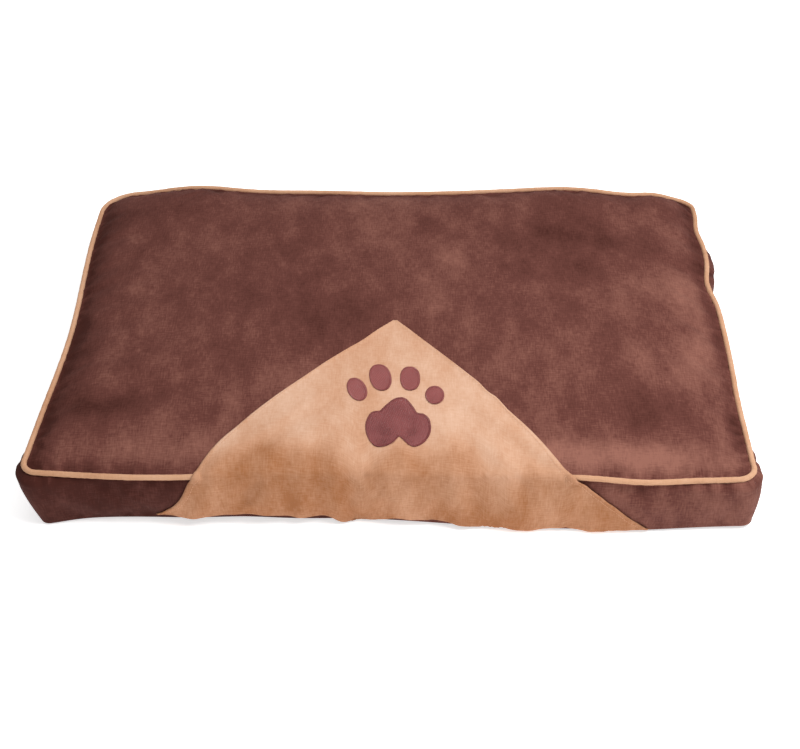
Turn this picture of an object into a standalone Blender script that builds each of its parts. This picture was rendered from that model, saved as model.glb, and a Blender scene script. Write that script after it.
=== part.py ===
"""Pet cushion bed: a boxed and piped cushion cover with a zip at the back, over a stuffed inner pad.

Metres, +Z up.  The cushion stands on Z = 0, centred on the Z axis, with its front towards -Y and its
zip in the back boxing at +Y.  The slider runs along +X to open the zip.
"""
import math

import bmesh
import bpy
from mathutils import Vector

# --- The cushion's outline and height ---
LENGTH = 0.800  # seam to seam, left to right
DEPTH = 0.550  # seam to seam, front to back
CORNER_RADIUS = 0.035
PULL_IN = 0.008  # how far the filling draws in the middle of the front and the two sides
SEAM_HEIGHT = 0.0775  # floor to the middle of the piped seam
CROWN = 0.030  # rise of the top panel from its edge to its middle
FULLNESS = 3.5  # a higher value gives a flatter top with rounder shoulders
BULGE = 0.004  # how far the boxing bows out between its two seams
UNDERSIDE_RISE = 0.006  # height of the plain bottom seam above the floor

# --- Cloth and its clearances ---
CLOTH = 0.0012
GAP = 0.0003

# --- Piping ---
PIPING = 0.0070
CORD = 0.0042
PIPING_WALL = 0.0011
ALLOWANCE = 0.0090  # reach of the piping's flat tongue inwards of the seam line
TONGUE = 0.0012
PIPING_TUCK = 0.020  # length of each piping end that is hidden under the overlay

# --- Tan overlay with its paw ---
OVERLAY_REACH = 0.231  # from the front seam line back to the apex
APEX_HALF = 0.004
OVERLAY_SEAM_HALF = 0.216  # half its width where it crosses the seam
OVERLAY_HEM_HALF = 0.276  # half its width at the hem
OVERLAY_BOW = 0.05  # how much the slanted sides bow outwards
HEM_HEIGHT = 0.009
PAW_SHIFT = 0.010  # middle of the main pad, right of the middle of the cushion
PAW_SETBACK = 0.064  # middle of the main pad, behind the front seam line
PAW_PAD = (0.0365, 0.0315)  # half its width and half its length
PATCH = 0.0015  # thickness of the embroidered patches

# --- Inner pad ---
LINER = 0.0006
PAD_SHOULDER = 0.014
PAD_SIDE = 0.0045
PAD_WAIST = 0.0010
PAD_FOOT = 0.010

# --- Zip ---
ZIP_SETBACK = 0.065  # from each end of the opening to where the rear corner starts to turn
TAPE_OVERRUN = 0.010
TAPE_WIDTH = 0.012
TAPE = 0.0008
STRIP_TO_ZIP = 0.0065  # from the middle of the zip to the edge of each boxing strip
CHAIN_END = 0.010  # from the end of the opening to the end of the teeth
CHAIN_PART = 0.0008  # half the slot that the slider's neck runs in
COIL_WIDTH = 0.0024
COIL_THICKNESS = 0.0022
STOP_LENGTH = 0.0030
SLIDER_LENGTH = 0.012
SLIDER_HALF_WIDTH = 0.0045
SLIDER_PLATE = 0.0010
SLIDER_FLANGE = 0.0008
SLIDER_NECK = 0.0010
SLIDER_TO_STOP = 0.0033
BAIL_HALF_LENGTH = 0.0044
BAIL_HEIGHT = 0.0036
BAIL_BAR = 0.0012
BAIL_HALF_WIDTH = 0.0008
PULL_LENGTH = 0.026
PULL_WIDTH = 0.007
PULL_THICKNESS = 0.0012
PULL_EYE = 0.0053  # length of the pull's hole
PULL_EYE_HALF = 0.0017
PULL_PIN = 0.0007  # from the hinge axis to the end of the pull
HINGE_ABOVE_PLATE = 0.0013

# --- How finely curved pieces are divided ---
FRONT_STEPS = 10
SIDE_STEPS = 6
CORNER_STEPS = 4
CROWN_SHARES = (0.22, 0.45, 0.65, 0.80, 0.90, 0.96, 1.0)
OVERLAY_ROWS = 14
OVERLAY_COLUMNS = 12
PATCH_STEPS = 16

COLOURS = {
    "brown suede": ((0.160, 0.056, 0.044), 0.85, 0.0),
    "tan suede": ((0.600, 0.360, 0.220), 0.85, 0.0),
    "tan piping": ((0.560, 0.350, 0.225), 0.75, 0.0),
    "embroidery": ((0.250, 0.085, 0.080), 0.60, 0.0),
    "base cloth": ((0.090, 0.045, 0.038), 0.90, 0.0),
    "liner": ((0.780, 0.770, 0.740), 0.85, 0.0),
    "fibre": ((0.900, 0.900, 0.880), 0.95, 0.0),
    "cord": ((0.800, 0.780, 0.720), 0.90, 0.0),
    "zip tape": ((0.100, 0.045, 0.036), 0.80, 0.0),
    "zip nylon": ((0.110, 0.050, 0.040), 0.40, 0.0),
    "zip metal": ((0.420, 0.340, 0.240), 0.35, 1.0),
}


def finish(name):
    """The named finish, made once."""
    found = bpy.data.materials.get(name)
    if found:
        return found
    colour, roughness, metallic = COLOURS[name]
    made = bpy.data.materials.new(name)
    made.use_nodes = True
    shader = made.node_tree.nodes["Principled BSDF"]
    shader.inputs["Base Color"].default_value = (*colour, 1.0)
    shader.inputs["Roughness"].default_value = roughness
    shader.inputs["Metallic"].default_value = metallic
    made.diffuse_color = (*colour, 1.0)
    return made


def place(name, bm, material, parent=None, location=(0.0, 0.0, 0.0), smooth=True):
    """Turns a bmesh into a named object, with its faces pointing out."""
    bmesh.ops.recalc_face_normals(bm, faces=bm.faces)
    mesh = bpy.data.meshes.new(name)
    bm.to_mesh(mesh)
    bm.free()
    mesh.materials.append(finish(material))
    if smooth:
        mesh.shade_smooth()
        mesh.set_sharp_from_angle(angle=math.radians(40))
    made = bpy.data.objects.new(name, mesh)
    bpy.context.scene.collection.objects.link(made)
    made.parent = parent
    made.location = location
    return made


def lofted(sections, closed_ends=True):
    """A bmesh skin through loops of equally many points, with a flat cap on each end loop."""
    bm = bmesh.new()
    loops = [[bm.verts.new(point) for point in section] for section in sections]
    for near, far in zip(loops, loops[1:]):
        for i in range(len(near)):
            bm.faces.new((near[i - 1], near[i], far[i], far[i - 1]))
    if closed_ends:
        bm.faces.new(loops[0])
        bm.faces.new(loops[-1])
    return bm


def box(bm, low, high):
    """Adds a closed box between two corners."""
    corners = bmesh.ops.create_cube(bm, size=1.0)["verts"]
    for vert in corners:
        vert.co = Vector(
            [a if c < 0 else b for c, a, b in zip(vert.co, low, high)]
        )


# --- The seam outline, which every cover piece follows ---

ZIP_HALF = LENGTH / 2 - CORNER_RADIUS - ZIP_SETBACK  # half the opening between the two side boxings
PANEL_INSET = PIPING / 2 + GAP  # top panel's edge, inwards of the seam line
PANEL_EDGE_RISE = TONGUE / 2 + GAP  # lower face of the top panel above the middle of the seam


def draw_in(share):
    """How far a side lies inwards of its straight line, at a share of its length."""
    return PULL_IN * math.sin(math.pi * share) ** 2


def outline_points():
    """Plan points of the seam, anticlockwise from the front left, and the index where each run starts."""
    half_x, half_y = LENGTH / 2, DEPTH / 2
    straight_x, straight_y = half_x - CORNER_RADIUS, half_y - CORNER_RADIUS
    points, starts = [], {}

    def corner(name, centre, start_angle):
        starts[name] = len(points)
        for i in range(CORNER_STEPS):
            angle = math.radians(start_angle + 90 * i / CORNER_STEPS)
            points.append(Vector(centre) + CORNER_RADIUS * Vector((math.cos(angle), math.sin(angle))))

    starts["front"] = 0
    for i in range(FRONT_STEPS):
        share = i / FRONT_STEPS
        points.append(Vector((straight_x * (2 * share - 1), -half_y + draw_in(share))))
    corner("front_right", (straight_x, -straight_y), -90)
    starts["right"] = len(points)
    for i in range(SIDE_STEPS):
        share = i / SIDE_STEPS
        points.append(Vector((half_x - draw_in(share), straight_y * (2 * share - 1))))
    corner("back_right", (straight_x, straight_y), 0)
    starts["back"] = len(points)
    for x in (straight_x, ZIP_HALF, ZIP_HALF / 2, 0.0, -ZIP_HALF / 2, -ZIP_HALF):
        points.append(Vector((x, half_y)))
    corner("back_left", (-straight_x, straight_y), 90)
    starts["left"] = len(points)
    for i in range(SIDE_STEPS):
        share = i / SIDE_STEPS
        points.append(Vector((-half_x + draw_in(share), straight_y * (1 - 2 * share))))
    corner("front_left", (-straight_x, -straight_y), 180)
    return points, starts


def mitres(points):
    """For each plan point, the outward vector that moves both of its edges by one unit."""
    found = []
    for i, point in enumerate(points):
        before = (point - points[i - 1]).normalized()
        after = (points[(i + 1) % len(points)] - point).normalized()
        outward = Vector((before.y + after.y, -before.x - after.x)).normalized()
        found.append(outward / outward.dot(Vector((after.y, -after.x))))
    return found


OUTLINE, RUN_START = outline_points()
MITRES = mitres(OUTLINE)
COUNT = len(OUTLINE)


def plan_point(index, offset):
    """The seam point at a whole or fractional index, moved outwards by offset."""
    whole = math.floor(index)
    share = index - whole
    near = OUTLINE[whole % COUNT] + MITRES[whole % COUNT] * offset
    far = OUTLINE[(whole + 1) % COUNT] + MITRES[(whole + 1) % COUNT] * offset
    return near.lerp(far, share)


def ring(offset, height, share=1.0):
    """A closed loop of points round the cushion: the outline moved outwards, then shrunk to a share."""
    return [(*(plan_point(i, offset) * share), height) for i in range(COUNT)]


def front_y(x, offset):
    """The Y of the front run of the outline, moved outwards by offset, at a given X."""
    for i in range(-1, FRONT_STEPS + 1):
        left, right = plan_point(i, offset), plan_point(i + 1, offset)
        if left.x <= x <= right.x:
            return left.lerp(right, (x - left.x) / (right.x - left.x)).y
    return -DEPTH / 2 - offset


def front_index(x):
    """The fractional index on the front run at a given X."""
    for i in range(FRONT_STEPS):
        left, right = OUTLINE[i], OUTLINE[i + 1]
        if left.x <= x <= right.x:
            return i + (x - left.x) / (right.x - left.x)
    return 0.0 if x < 0 else float(FRONT_STEPS)


# --- Heights that neighbouring pieces share ---

PANEL_RIM = SEAM_HEIGHT + PANEL_EDGE_RISE + CLOTH  # upper face of the top panel at its edge


def crown_height(share):
    """Upper face of the top panel at a share of the way from its middle to its edge."""
    return PANEL_RIM + CROWN * (1 - share**FULLNESS)


def top_height(x, y):
    """Upper face of the top panel at a place on its front half."""
    share = 1.0
    for _ in range(8):
        share = max(0.02, y / front_y(x / share, -PANEL_INSET))
    return crown_height(share)


BOXING_FOOT = UNDERSIDE_RISE + GAP
BOXING_HEAD = SEAM_HEIGHT - TONGUE / 2 - GAP
BOXING_MIDDLE = (BOXING_FOOT + BOXING_HEAD) / 2
ZIP_HEIGHT = BOXING_MIDDLE


def bulge_at(height):
    """Outward bow of the boxing between its two seams."""
    return BULGE * (1 - ((height - BOXING_MIDDLE) / (BOXING_HEAD - BOXING_FOOT) * 2) ** 2)


def boxing_profile():
    """(offset, height) of the boxing's outer face from its foot up to where it tucks in under the piping."""
    below_piping = SEAM_HEIGHT - PIPING / 2
    heights = [
        BOXING_FOOT,
        BOXING_FOOT + (ZIP_HEIGHT - STRIP_TO_ZIP - BOXING_FOOT) * 0.4,
        ZIP_HEIGHT - STRIP_TO_ZIP,
        ZIP_HEIGHT + STRIP_TO_ZIP,
        ZIP_HEIGHT + STRIP_TO_ZIP + (below_piping - ZIP_HEIGHT - STRIP_TO_ZIP) * 0.55,
        below_piping - 0.0050,
    ]
    profile = [(bulge_at(height), height) for height in heights]
    tuck = PIPING / 2 + GAP
    profile.append((-0.6 * tuck, SEAM_HEIGHT - 1.15 * tuck))
    profile.append((-tuck - GAP, BOXING_HEAD))
    return profile


BOXING = boxing_profile()


def boxing_offset(height):
    """Offset of the boxing's outer face at a height, along the facets of its profile."""
    for (low_out, low), (high_out, high) in zip(BOXING, BOXING[1:]):
        if low <= height <= high:
            return low_out + (high_out - low_out) * (height - low) / (high - low)
    return BOXING[0][0]


# --- Cover panels ---


def top_panel(parent):
    """Crowned brown top panel."""
    outer = [ring(-PANEL_INSET, crown_height(share), share) for share in CROWN_SHARES]
    inner = [ring(-PANEL_INSET, crown_height(share) - CLOTH, share) for share in CROWN_SHARES]
    return place("top_panel", lofted(outer + inner[::-1]), "brown suede", parent)


def bottom_panel(parent):
    """Flat base cloth whose rim turns up to the bottom seam."""
    turn, edge = 0.010, 0.003
    outer = [
        ring(-PANEL_INSET, 0.0, CROWN_SHARES[1]),
        ring(-PANEL_INSET, 0.0, CROWN_SHARES[3]),
        ring(-turn, 0.0),
        ring(-edge, UNDERSIDE_RISE * 0.3),
        ring(0.0, UNDERSIDE_RISE),
    ]
    inner = [
        ring(-PANEL_INSET, CLOTH, CROWN_SHARES[1]),
        ring(-PANEL_INSET, CLOTH, CROWN_SHARES[3]),
        ring(-turn - CLOTH / 2, CLOTH),
        ring(-edge - CLOTH, UNDERSIDE_RISE * 0.3 + CLOTH),
        ring(-CLOTH, UNDERSIDE_RISE),
    ]
    return place("bottom_panel", lofted(outer + inner[::-1]), "base cloth", parent)


def strip_indices(start, end):
    """Whole indices between two places on the outline, with half a gap left at each end."""
    first = (plan_point(start + 1, 0) - plan_point(start, 0)).length
    last = (plan_point(end, 0) - plan_point(end - 1, 0)).length
    return [start + GAP / 2 / first, *range(start + 1, end), end - GAP / 2 / last]


def boxing(name, start, end, profile, parent):
    """A strip of side cloth between two places on the outline."""
    sections = []
    for index in strip_indices(start, end):
        outer = [(*plan_point(index, out), height) for out, height in profile]
        inner = [(*plan_point(index, out - CLOTH), height) for out, height in profile]
        sections.append(outer + inner[::-1])
    return place(name, lofted(sections), "brown suede", parent)


def boxings(parent):
    """The whole side wall: a front strip, two side strips, and two narrow ones above and below the zip."""
    half_corner = CORNER_STEPS // 2
    front_right = RUN_START["front_right"] + half_corner
    front_left = RUN_START["front_left"] + half_corner
    zip_right = RUN_START["back"] + 1
    zip_left = RUN_START["back_left"] - 1
    boxing("front_boxing", front_left - COUNT, front_right, BOXING, parent)
    boxing("right_boxing", front_right, zip_right, BOXING, parent)
    boxing("left_boxing", zip_left, front_left, BOXING, parent)
    below = [row for row in BOXING if row[1] < ZIP_HEIGHT]
    above = [row for row in BOXING if row[1] > ZIP_HEIGHT]
    boxing("back_boxing_lower", zip_right, zip_left, below, parent)
    boxing("back_boxing_upper", zip_right, zip_left, above, parent)


# --- Piping ---


def piping_indices(shorten=0.0):
    """Places along the outline from under the overlay's right side, round the back, to its left side."""
    reach = OVERLAY_SEAM_HALF - PIPING_TUCK + shorten
    start, end = front_index(reach), front_index(-reach) + COUNT
    return [start, *range(math.floor(start) + 1, math.ceil(end)), end]


def around(index, radius, degrees):
    """A point on a circle about the seam line, with 0 degrees facing outwards and 90 up."""
    angle = math.radians(degrees)
    plan = plan_point(index, radius * math.cos(angle))
    return (*plan, SEAM_HEIGHT + radius * math.sin(angle))


def piping_cover(parent):
    """Bias cloth folded round the cord, with its two layers held together as a tongue in the seam."""
    rim = [135, 90, 45, 0, -45, -90, -135]
    channel = [176, 165, *rim, -165, -176]
    root = math.sqrt((PIPING / 2) ** 2 - (TONGUE / 2) ** 2)
    bm = bmesh.new()
    outer_loops, inner_loops = [], []
    for index in piping_indices():
        outer = [
            (*plan_point(index, -ALLOWANCE), SEAM_HEIGHT + TONGUE / 2),
            (*plan_point(index, -root), SEAM_HEIGHT + TONGUE / 2),
            *[around(index, PIPING / 2, degrees) for degrees in rim],
            (*plan_point(index, -root), SEAM_HEIGHT - TONGUE / 2),
            (*plan_point(index, -ALLOWANCE), SEAM_HEIGHT - TONGUE / 2),
        ]
        inner = [around(index, PIPING / 2 - PIPING_WALL, degrees) for degrees in channel]
        outer_loops.append([bm.verts.new(point) for point in outer])
        inner_loops.append([bm.verts.new(point) for point in inner])
    for loops in (outer_loops, inner_loops):
        for near, far in zip(loops, loops[1:]):
            for i in range(len(near)):
                bm.faces.new((near[i - 1], near[i], far[i], far[i - 1]))
    for outer, inner in ((outer_loops[0], inner_loops[0]), (outer_loops[-1], inner_loops[-1])):
        for i in range(len(outer)):
            bm.faces.new((outer[i - 1], outer[i], inner[i], inner[i - 1]))
    return place("piping_cover", bm, "tan piping", parent)


def piping_cord(parent):
    """Cotton cord inside the piping."""
    sides = 6
    sections = [
        [around(index, CORD / 2, 360 * i / sides) for i in range(sides)]
        for index in piping_indices(GAP)
    ]
    return place("piping_cord", lofted(sections), "cord", parent)


# --- Tan overlay and its embroidered paw ---


APEX_Y = OVERLAY_REACH - DEPTH / 2
PAW_CENTRE = (PAW_SHIFT, PAW_SETBACK - DEPTH / 2)


def overlay_edge(share):
    """Half width of the overlay at a share of the way from its apex to the seam."""
    bowed = share + OVERLAY_BOW * share * (1 - share)
    return APEX_HALF + (OVERLAY_SEAM_HALF - APEX_HALF) * bowed


def overlay_section(half_width, point_inner, point_outer):
    """One crosswise loop of the overlay: its outer face left to right, then its inner face back."""
    xs = [half_width * (2 * j / OVERLAY_COLUMNS - 1) for j in range(OVERLAY_COLUMNS + 1)]
    return [point_outer(x) for x in xs] + [point_inner(x) for x in reversed(xs)]


def on_panel(share, lift):
    """Places a point of the overlay on the top panel, at a share of the way from apex to panel edge."""

    def point(x):
        y = APEX_Y + (front_y(x, -PANEL_INSET) - APEX_Y) * share
        return (x, y, top_height(x, y) + lift)

    return point


def on_front(offset, height):
    """Places a point of the overlay at an offset from the front run of the seam line."""

    def point(x):
        return (x, front_y(x, offset), height)

    return point


def front_overlay(parent):
    """Tan triangle laid on the top panel, turned down over the front edge as far as its hem."""
    sections = []
    for i in range(OVERLAY_ROWS + 1):
        share = (i / OVERLAY_ROWS) ** 0.9
        sections.append(overlay_section(
            overlay_edge(share), on_panel(share, GAP), on_panel(share, GAP + CLOTH)
        ))
    inner_radius = PIPING / 2 + GAP
    drop = SEAM_HEIGHT - HEM_HEIGHT
    for degrees in (100, 70, 40, 10, -20, -50):
        angle = math.radians(degrees)
        rise = math.sin(angle)
        inner = (inner_radius * math.cos(angle), SEAM_HEIGHT + inner_radius * rise)
        outer_radius = inner_radius + CLOTH
        outer = (outer_radius * math.cos(angle), SEAM_HEIGHT + outer_radius * rise)
        fall = max(0.0, SEAM_HEIGHT - inner[1]) / drop
        half = OVERLAY_SEAM_HALF + (OVERLAY_HEM_HALF - OVERLAY_SEAM_HALF) * fall
        sections.append(overlay_section(half, on_front(*inner), on_front(*outer)))
    lower_rows = [height for _, height in BOXING[1:5]][::-1] + [HEM_HEIGHT]
    for height in lower_rows:
        offset = boxing_offset(height) + GAP
        half = OVERLAY_SEAM_HALF + (OVERLAY_HEM_HALF - OVERLAY_SEAM_HALF) * (SEAM_HEIGHT - height) / drop
        sections.append(overlay_section(half, on_front(offset, height), on_front(offset + CLOTH, height)))
    return place("front_overlay", lofted(sections), "tan suede", parent)


def patch(name, centre, outline, parent):
    """A low embroidered patch on the overlay, from its outline about its centre."""
    base = 2 * GAP + CLOTH
    bm = bmesh.new()

    def vert(share, point, lift):
        x, y = centre[0] + point[0] * share, centre[1] + point[1] * share
        return bm.verts.new((x, y, top_height(x, y) + base + lift))

    rows = [
        [vert(share, point, lift) for point in outline]
        for share, lift in ((0.5, 0.0), (1.0, 0.0), (1.0, PATCH * 0.5), (0.85, PATCH), (0.45, PATCH))
    ]
    for near, far in zip(rows, rows[1:]):
        for i in range(len(near)):
            bm.faces.new((near[i - 1], near[i], far[i], far[i - 1]))
    for row, lift in ((rows[0], 0.0), (rows[-1], PATCH)):
        pole = vert(0.0, (0.0, 0.0), lift)
        for i in range(len(row)):
            bm.faces.new((row[i - 1], row[i], pole))
    return place(name, bm, "embroidery", parent)


def oval(half_width, half_height, lean):
    """Outline of a toe: an ellipse that leans to the left by an angle in degrees."""
    turn = math.radians(lean)
    points = []
    for i in range(PATCH_STEPS):
        angle = math.tau * i / PATCH_STEPS
        across, along = half_width * math.cos(angle), half_height * math.sin(angle)
        points.append((
            across * math.cos(turn) - along * math.sin(turn),
            across * math.sin(turn) + along * math.cos(turn),
        ))
    return points


def pad_outline():
    """Outline of the paw's main pad: a rounded triangle with a shallow notch in its lower edge."""
    points = []
    steps = PATCH_STEPS + 8
    for i in range(steps):
        angle = math.tau * i / steps
        reach = 1 - 0.10 * math.sin(3 * angle) - 0.06 * math.cos(2 * angle)
        notch = 0.22 * math.exp(-((math.cos(angle) / 0.22) ** 2)) if math.sin(angle) < 0 else 0.0
        points.append((
            PAW_PAD[0] * (reach - notch) * math.cos(angle),
            PAW_PAD[1] * (reach - notch) * math.sin(angle),
        ))
    return points


def paw(parent):
    """Embroidered paw: one main pad and four toes."""
    patch("paw_pad", PAW_CENTRE, pad_outline(), parent)
    toes = {  # place from the middle of the pad, half sizes, lean
        "paw_toe_1": ((-0.0485, 0.0465), (0.0098, 0.0180), 20),
        "paw_toe_2": ((-0.0215, 0.0650), (0.0118, 0.0205), 8),
        "paw_toe_3": ((0.0105, 0.0620), (0.0102, 0.0190), 0),
        "paw_toe_4": ((0.0410, 0.0370), (0.0096, 0.0130), 0),
    }
    for name, ((across, along), (half_width, half_height), lean) in toes.items():
        centre = (PAW_CENTRE[0] + across, PAW_CENTRE[1] + along)
        patch(name, centre, oval(half_width, half_height, lean), parent)


# --- Inner pad ---


def pad_rows(inset):
    """Rings of the stuffed pad from the middle of its top to the middle of its underside, moved inwards."""
    lift = CLOTH + GAP + inset
    top = [ring(-PANEL_INSET, crown_height(share) - lift, share) for share in CROWN_SHARES[:5]]
    upper = [
        ring(-PAD_SHOULDER - inset, SEAM_HEIGHT - 0.002 - inset),
        ring(-PAD_SIDE - inset, SEAM_HEIGHT - 0.016),
    ]
    waist = -PAD_WAIST - inset
    lower = [
        ring(-PAD_SIDE - inset, UNDERSIDE_RISE + 0.016),
        ring(-PAD_FOOT - inset, UNDERSIDE_RISE + 0.003 + inset),
    ]
    base = [ring(-PANEL_INSET, lift, CROWN_SHARES[i]) for i in (4, 2, 0)]
    return top + upper, waist, lower + base


def liners(parent):
    """The pad's plain inner casing: an upper and a lower half that meet at a seam round the middle."""
    seam = BOXING_MIDDLE
    upper, waist, lower = pad_rows(0.0)
    upper_in, waist_in, lower_in = pad_rows(LINER)
    above, below = seam + GAP / 2, seam - GAP / 2
    top = upper + [ring(waist, above), ring(waist_in, above)] + upper_in[::-1]
    place("pad_liner_top", lofted(top), "liner", parent)
    bottom = lower_in[::-1] + [ring(waist_in, below), ring(waist, below)] + lower
    place("pad_liner_bottom", lofted(bottom), "liner", parent)


def pad_fill(parent):
    """Polyester fibre that fills the casing."""
    upper, waist, lower = pad_rows(LINER + GAP)
    return place("pad_fill", lofted(upper + [ring(waist, BOXING_MIDDLE)] + lower), "fibre", parent)


# --- Zip ---

BACK = DEPTH / 2
TAPE_FACE = boxing_offset(ZIP_HEIGHT + TAPE_WIDTH) - CLOTH - GAP  # outer face of the tapes
TAPE_INNER = TAPE_FACE - TAPE
COIL_BASE = TAPE_FACE + GAP
COIL_TOP = COIL_BASE + COIL_THICKNESS
PLATE_BASE = COIL_TOP + GAP
PLATE_TOP = PLATE_BASE + SLIDER_PLATE
CHAIN_HALF = ZIP_HALF - CHAIN_END
SLIDER_REST = -(CHAIN_HALF - SLIDER_TO_STOP - SLIDER_LENGTH / 2)


def block(name, low, high, material, parent):
    """A plain box-shaped piece, its corners given as X, offset from the back seam line, and height."""
    bm = bmesh.new()
    box(bm, (low[0], BACK + low[1], low[2]), (high[0], BACK + high[1], high[2]))
    return place(name, bm, material, parent, smooth=False)


def zip_tapes(parent):
    """Two woven tapes and the row of nylon teeth along each, parted by the neck's slot, and end stops."""
    for side, name in ((1, "upper"), (-1, "lower")):
        near = ZIP_HEIGHT + side * CHAIN_PART
        far_tape = ZIP_HEIGHT + side * TAPE_WIDTH
        far_coil = near + side * COIL_WIDTH
        reach = ZIP_HALF + TAPE_OVERRUN
        block(
            f"zip_tape_{name}",
            (-reach, TAPE_INNER, min(near, far_tape)),
            (reach, TAPE_FACE, max(near, far_tape)),
            "zip tape", parent,
        )
        block(
            f"zip_coil_{name}",
            (-CHAIN_HALF, COIL_BASE, min(near, far_coil)),
            (CHAIN_HALF, COIL_TOP, max(near, far_coil)),
            "zip nylon", parent,
        )
    half = CHAIN_PART + COIL_WIDTH
    for side, name in ((-1, "closed"), (1, "open")):
        near = side * (CHAIN_HALF + GAP)
        far = near + side * STOP_LENGTH
        block(
            f"zip_stop_{name}",
            (min(near, far), COIL_BASE, ZIP_HEIGHT - half),
            (max(near, far), COIL_TOP, ZIP_HEIGHT + half),
            "zip metal", parent,
        )


def joined(base, others):
    """Unites other closed shapes with a piece and hides them."""
    for other in others:
        other.hide_render = True
        other.display_type = "WIRE"
        union = base.modifiers.new(f"join {other.name}", "BOOLEAN")
        union.operation = "UNION"
        union.solver = "EXACT"
        union.object = other
    return base


def zip_slider(carrier):
    """Slider body: two plates joined by a neck, flanges beside the teeth, and a bail for the pull."""
    half = SLIDER_LENGTH / 2
    low_plate = TAPE_INNER - GAP

    def part_box(name, low, high):
        bm = bmesh.new()
        box(bm, low, high)
        return place(name, bm, "zip metal", carrier, smooth=False)

    base = part_box(
        "zip_slider", (-half, PLATE_BASE, -SLIDER_HALF_WIDTH), (half, PLATE_TOP, SLIDER_HALF_WIDTH)
    )
    back = part_box(
        "slider back plate",
        (-half, low_plate - SLIDER_PLATE, -SLIDER_HALF_WIDTH),
        (half, low_plate, SLIDER_HALF_WIDTH),
    )
    neck = part_box(
        "slider neck",
        (half - 0.005, low_plate - SLIDER_PLATE / 2, -SLIDER_NECK / 2),
        (half - 0.001, PLATE_BASE + SLIDER_PLATE / 2, SLIDER_NECK / 2),
    )
    flanges = [
        part_box(
            f"slider flange {side}",
            (-half + 0.001, COIL_BASE + GAP, min(edge, edge - side * SLIDER_FLANGE)),
            (half - 0.001, PLATE_BASE + SLIDER_PLATE / 2, max(edge, edge - side * SLIDER_FLANGE)),
        )
        for side, edge in ((1, SLIDER_HALF_WIDTH), (-1, -SLIDER_HALF_WIDTH))
    ]
    return joined(base, [back, neck, *flanges, bail(carrier)])


def bail(carrier):
    """Arch on the slider that the pull hangs on, standing along the zip."""
    steps = 10
    sections = []
    for i in range(steps + 1):
        angle = math.pi * i / steps
        cos, sin = math.cos(angle), math.sin(angle)
        inner = ((BAIL_HALF_LENGTH - BAIL_BAR) * cos, (BAIL_HEIGHT - BAIL_BAR) * sin)
        outer = (BAIL_HALF_LENGTH * cos, BAIL_HEIGHT * sin)
        sunk = -SLIDER_PLATE / 2 if i in (0, steps) else 0.0
        sections.append([
            (inner[0], PLATE_TOP + inner[1] + sunk, -BAIL_HALF_WIDTH),
            (outer[0], PLATE_TOP + outer[1] + sunk, -BAIL_HALF_WIDTH),
            (outer[0], PLATE_TOP + outer[1] + sunk, BAIL_HALF_WIDTH),
            (inner[0], PLATE_TOP + inner[1] + sunk, BAIL_HALF_WIDTH),
        ])
    return place("slider bail", lofted(sections), "zip metal", carrier, smooth=False)


def zip_pull(hinge):
    """Flat pull whose eye goes round the slider's bail, lying along the zip."""
    bm = bmesh.new()
    half = PULL_WIDTH / 2
    length = PULL_LENGTH - PULL_PIN
    outline = [(-PULL_PIN, -half), (PULL_EYE + 2 * PULL_PIN, -half)]
    for i in range(7):
        angle = math.radians(-90 + 30 * i)
        outline.append((length - half * 0.8 + half * 0.8 * math.cos(angle), half * 0.8 * math.sin(angle)))
    outline += [(PULL_EYE + 2 * PULL_PIN, half), (-PULL_PIN, half)]
    faces = [[bm.verts.new((x, y, z)) for x, z in outline] for y in (-PULL_THICKNESS / 2, PULL_THICKNESS / 2)]
    for i in range(len(outline)):
        bm.faces.new((faces[0][i - 1], faces[0][i], faces[1][i], faces[1][i - 1]))
    bm.faces.new(faces[0])
    bm.faces.new(faces[1])
    pull = place("zip_pull", bm, "zip metal", hinge, smooth=False)
    eye = bmesh.new()
    box(eye, (PULL_PIN, -PULL_THICKNESS, -PULL_EYE_HALF), (PULL_PIN + PULL_EYE, PULL_THICKNESS, PULL_EYE_HALF))
    cutter = place("pull eye", eye, "zip metal", hinge, smooth=False)
    cutter.hide_render = True
    cutter.display_type = "WIRE"
    cut = pull.modifiers.new("eye", "BOOLEAN")
    cut.operation = "DIFFERENCE"
    cut.solver = "EXACT"
    cut.object = cutter
    return pull


def empty(name, location, parent=None):
    """A parent with no shape, which marks a joint's place."""
    made = bpy.data.objects.new(name, None)
    bpy.context.scene.collection.objects.link(made)
    made.parent = parent
    made.location = location
    return made


def build():
    """Clears the scene and makes every piece."""
    for old in list(bpy.data.objects):
        bpy.data.objects.remove(old, do_unlink=True)
    cushion = empty("cushion", (0.0, 0.0, 0.0))
    top_panel(cushion)
    bottom_panel(cushion)
    boxings(cushion)
    piping_cover(cushion)
    piping_cord(cushion)
    front_overlay(cushion)
    paw(cushion)
    liners(cushion)
    pad_fill(cushion)
    zip_tapes(cushion)
    slide = empty("zip slide", (SLIDER_REST, BACK, ZIP_HEIGHT), cushion)
    zip_slider(slide)
    swing = empty("pull swing", (0.0, PLATE_TOP + HINGE_ABOVE_PLATE, 0.0), slide)
    zip_pull(swing)


build()
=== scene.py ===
"""Looks of the pet cushion bed: a stuffed cover of brown suede cloth with tan piping, a tan front
overlay with an embroidered paw, and a zip along its back.

Metres, +Z up.  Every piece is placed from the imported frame.
"""
import math

import bpy
import numpy as np
from mathutils import Matrix, Vector
from mathutils.bvhtree import BVHTree


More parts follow.
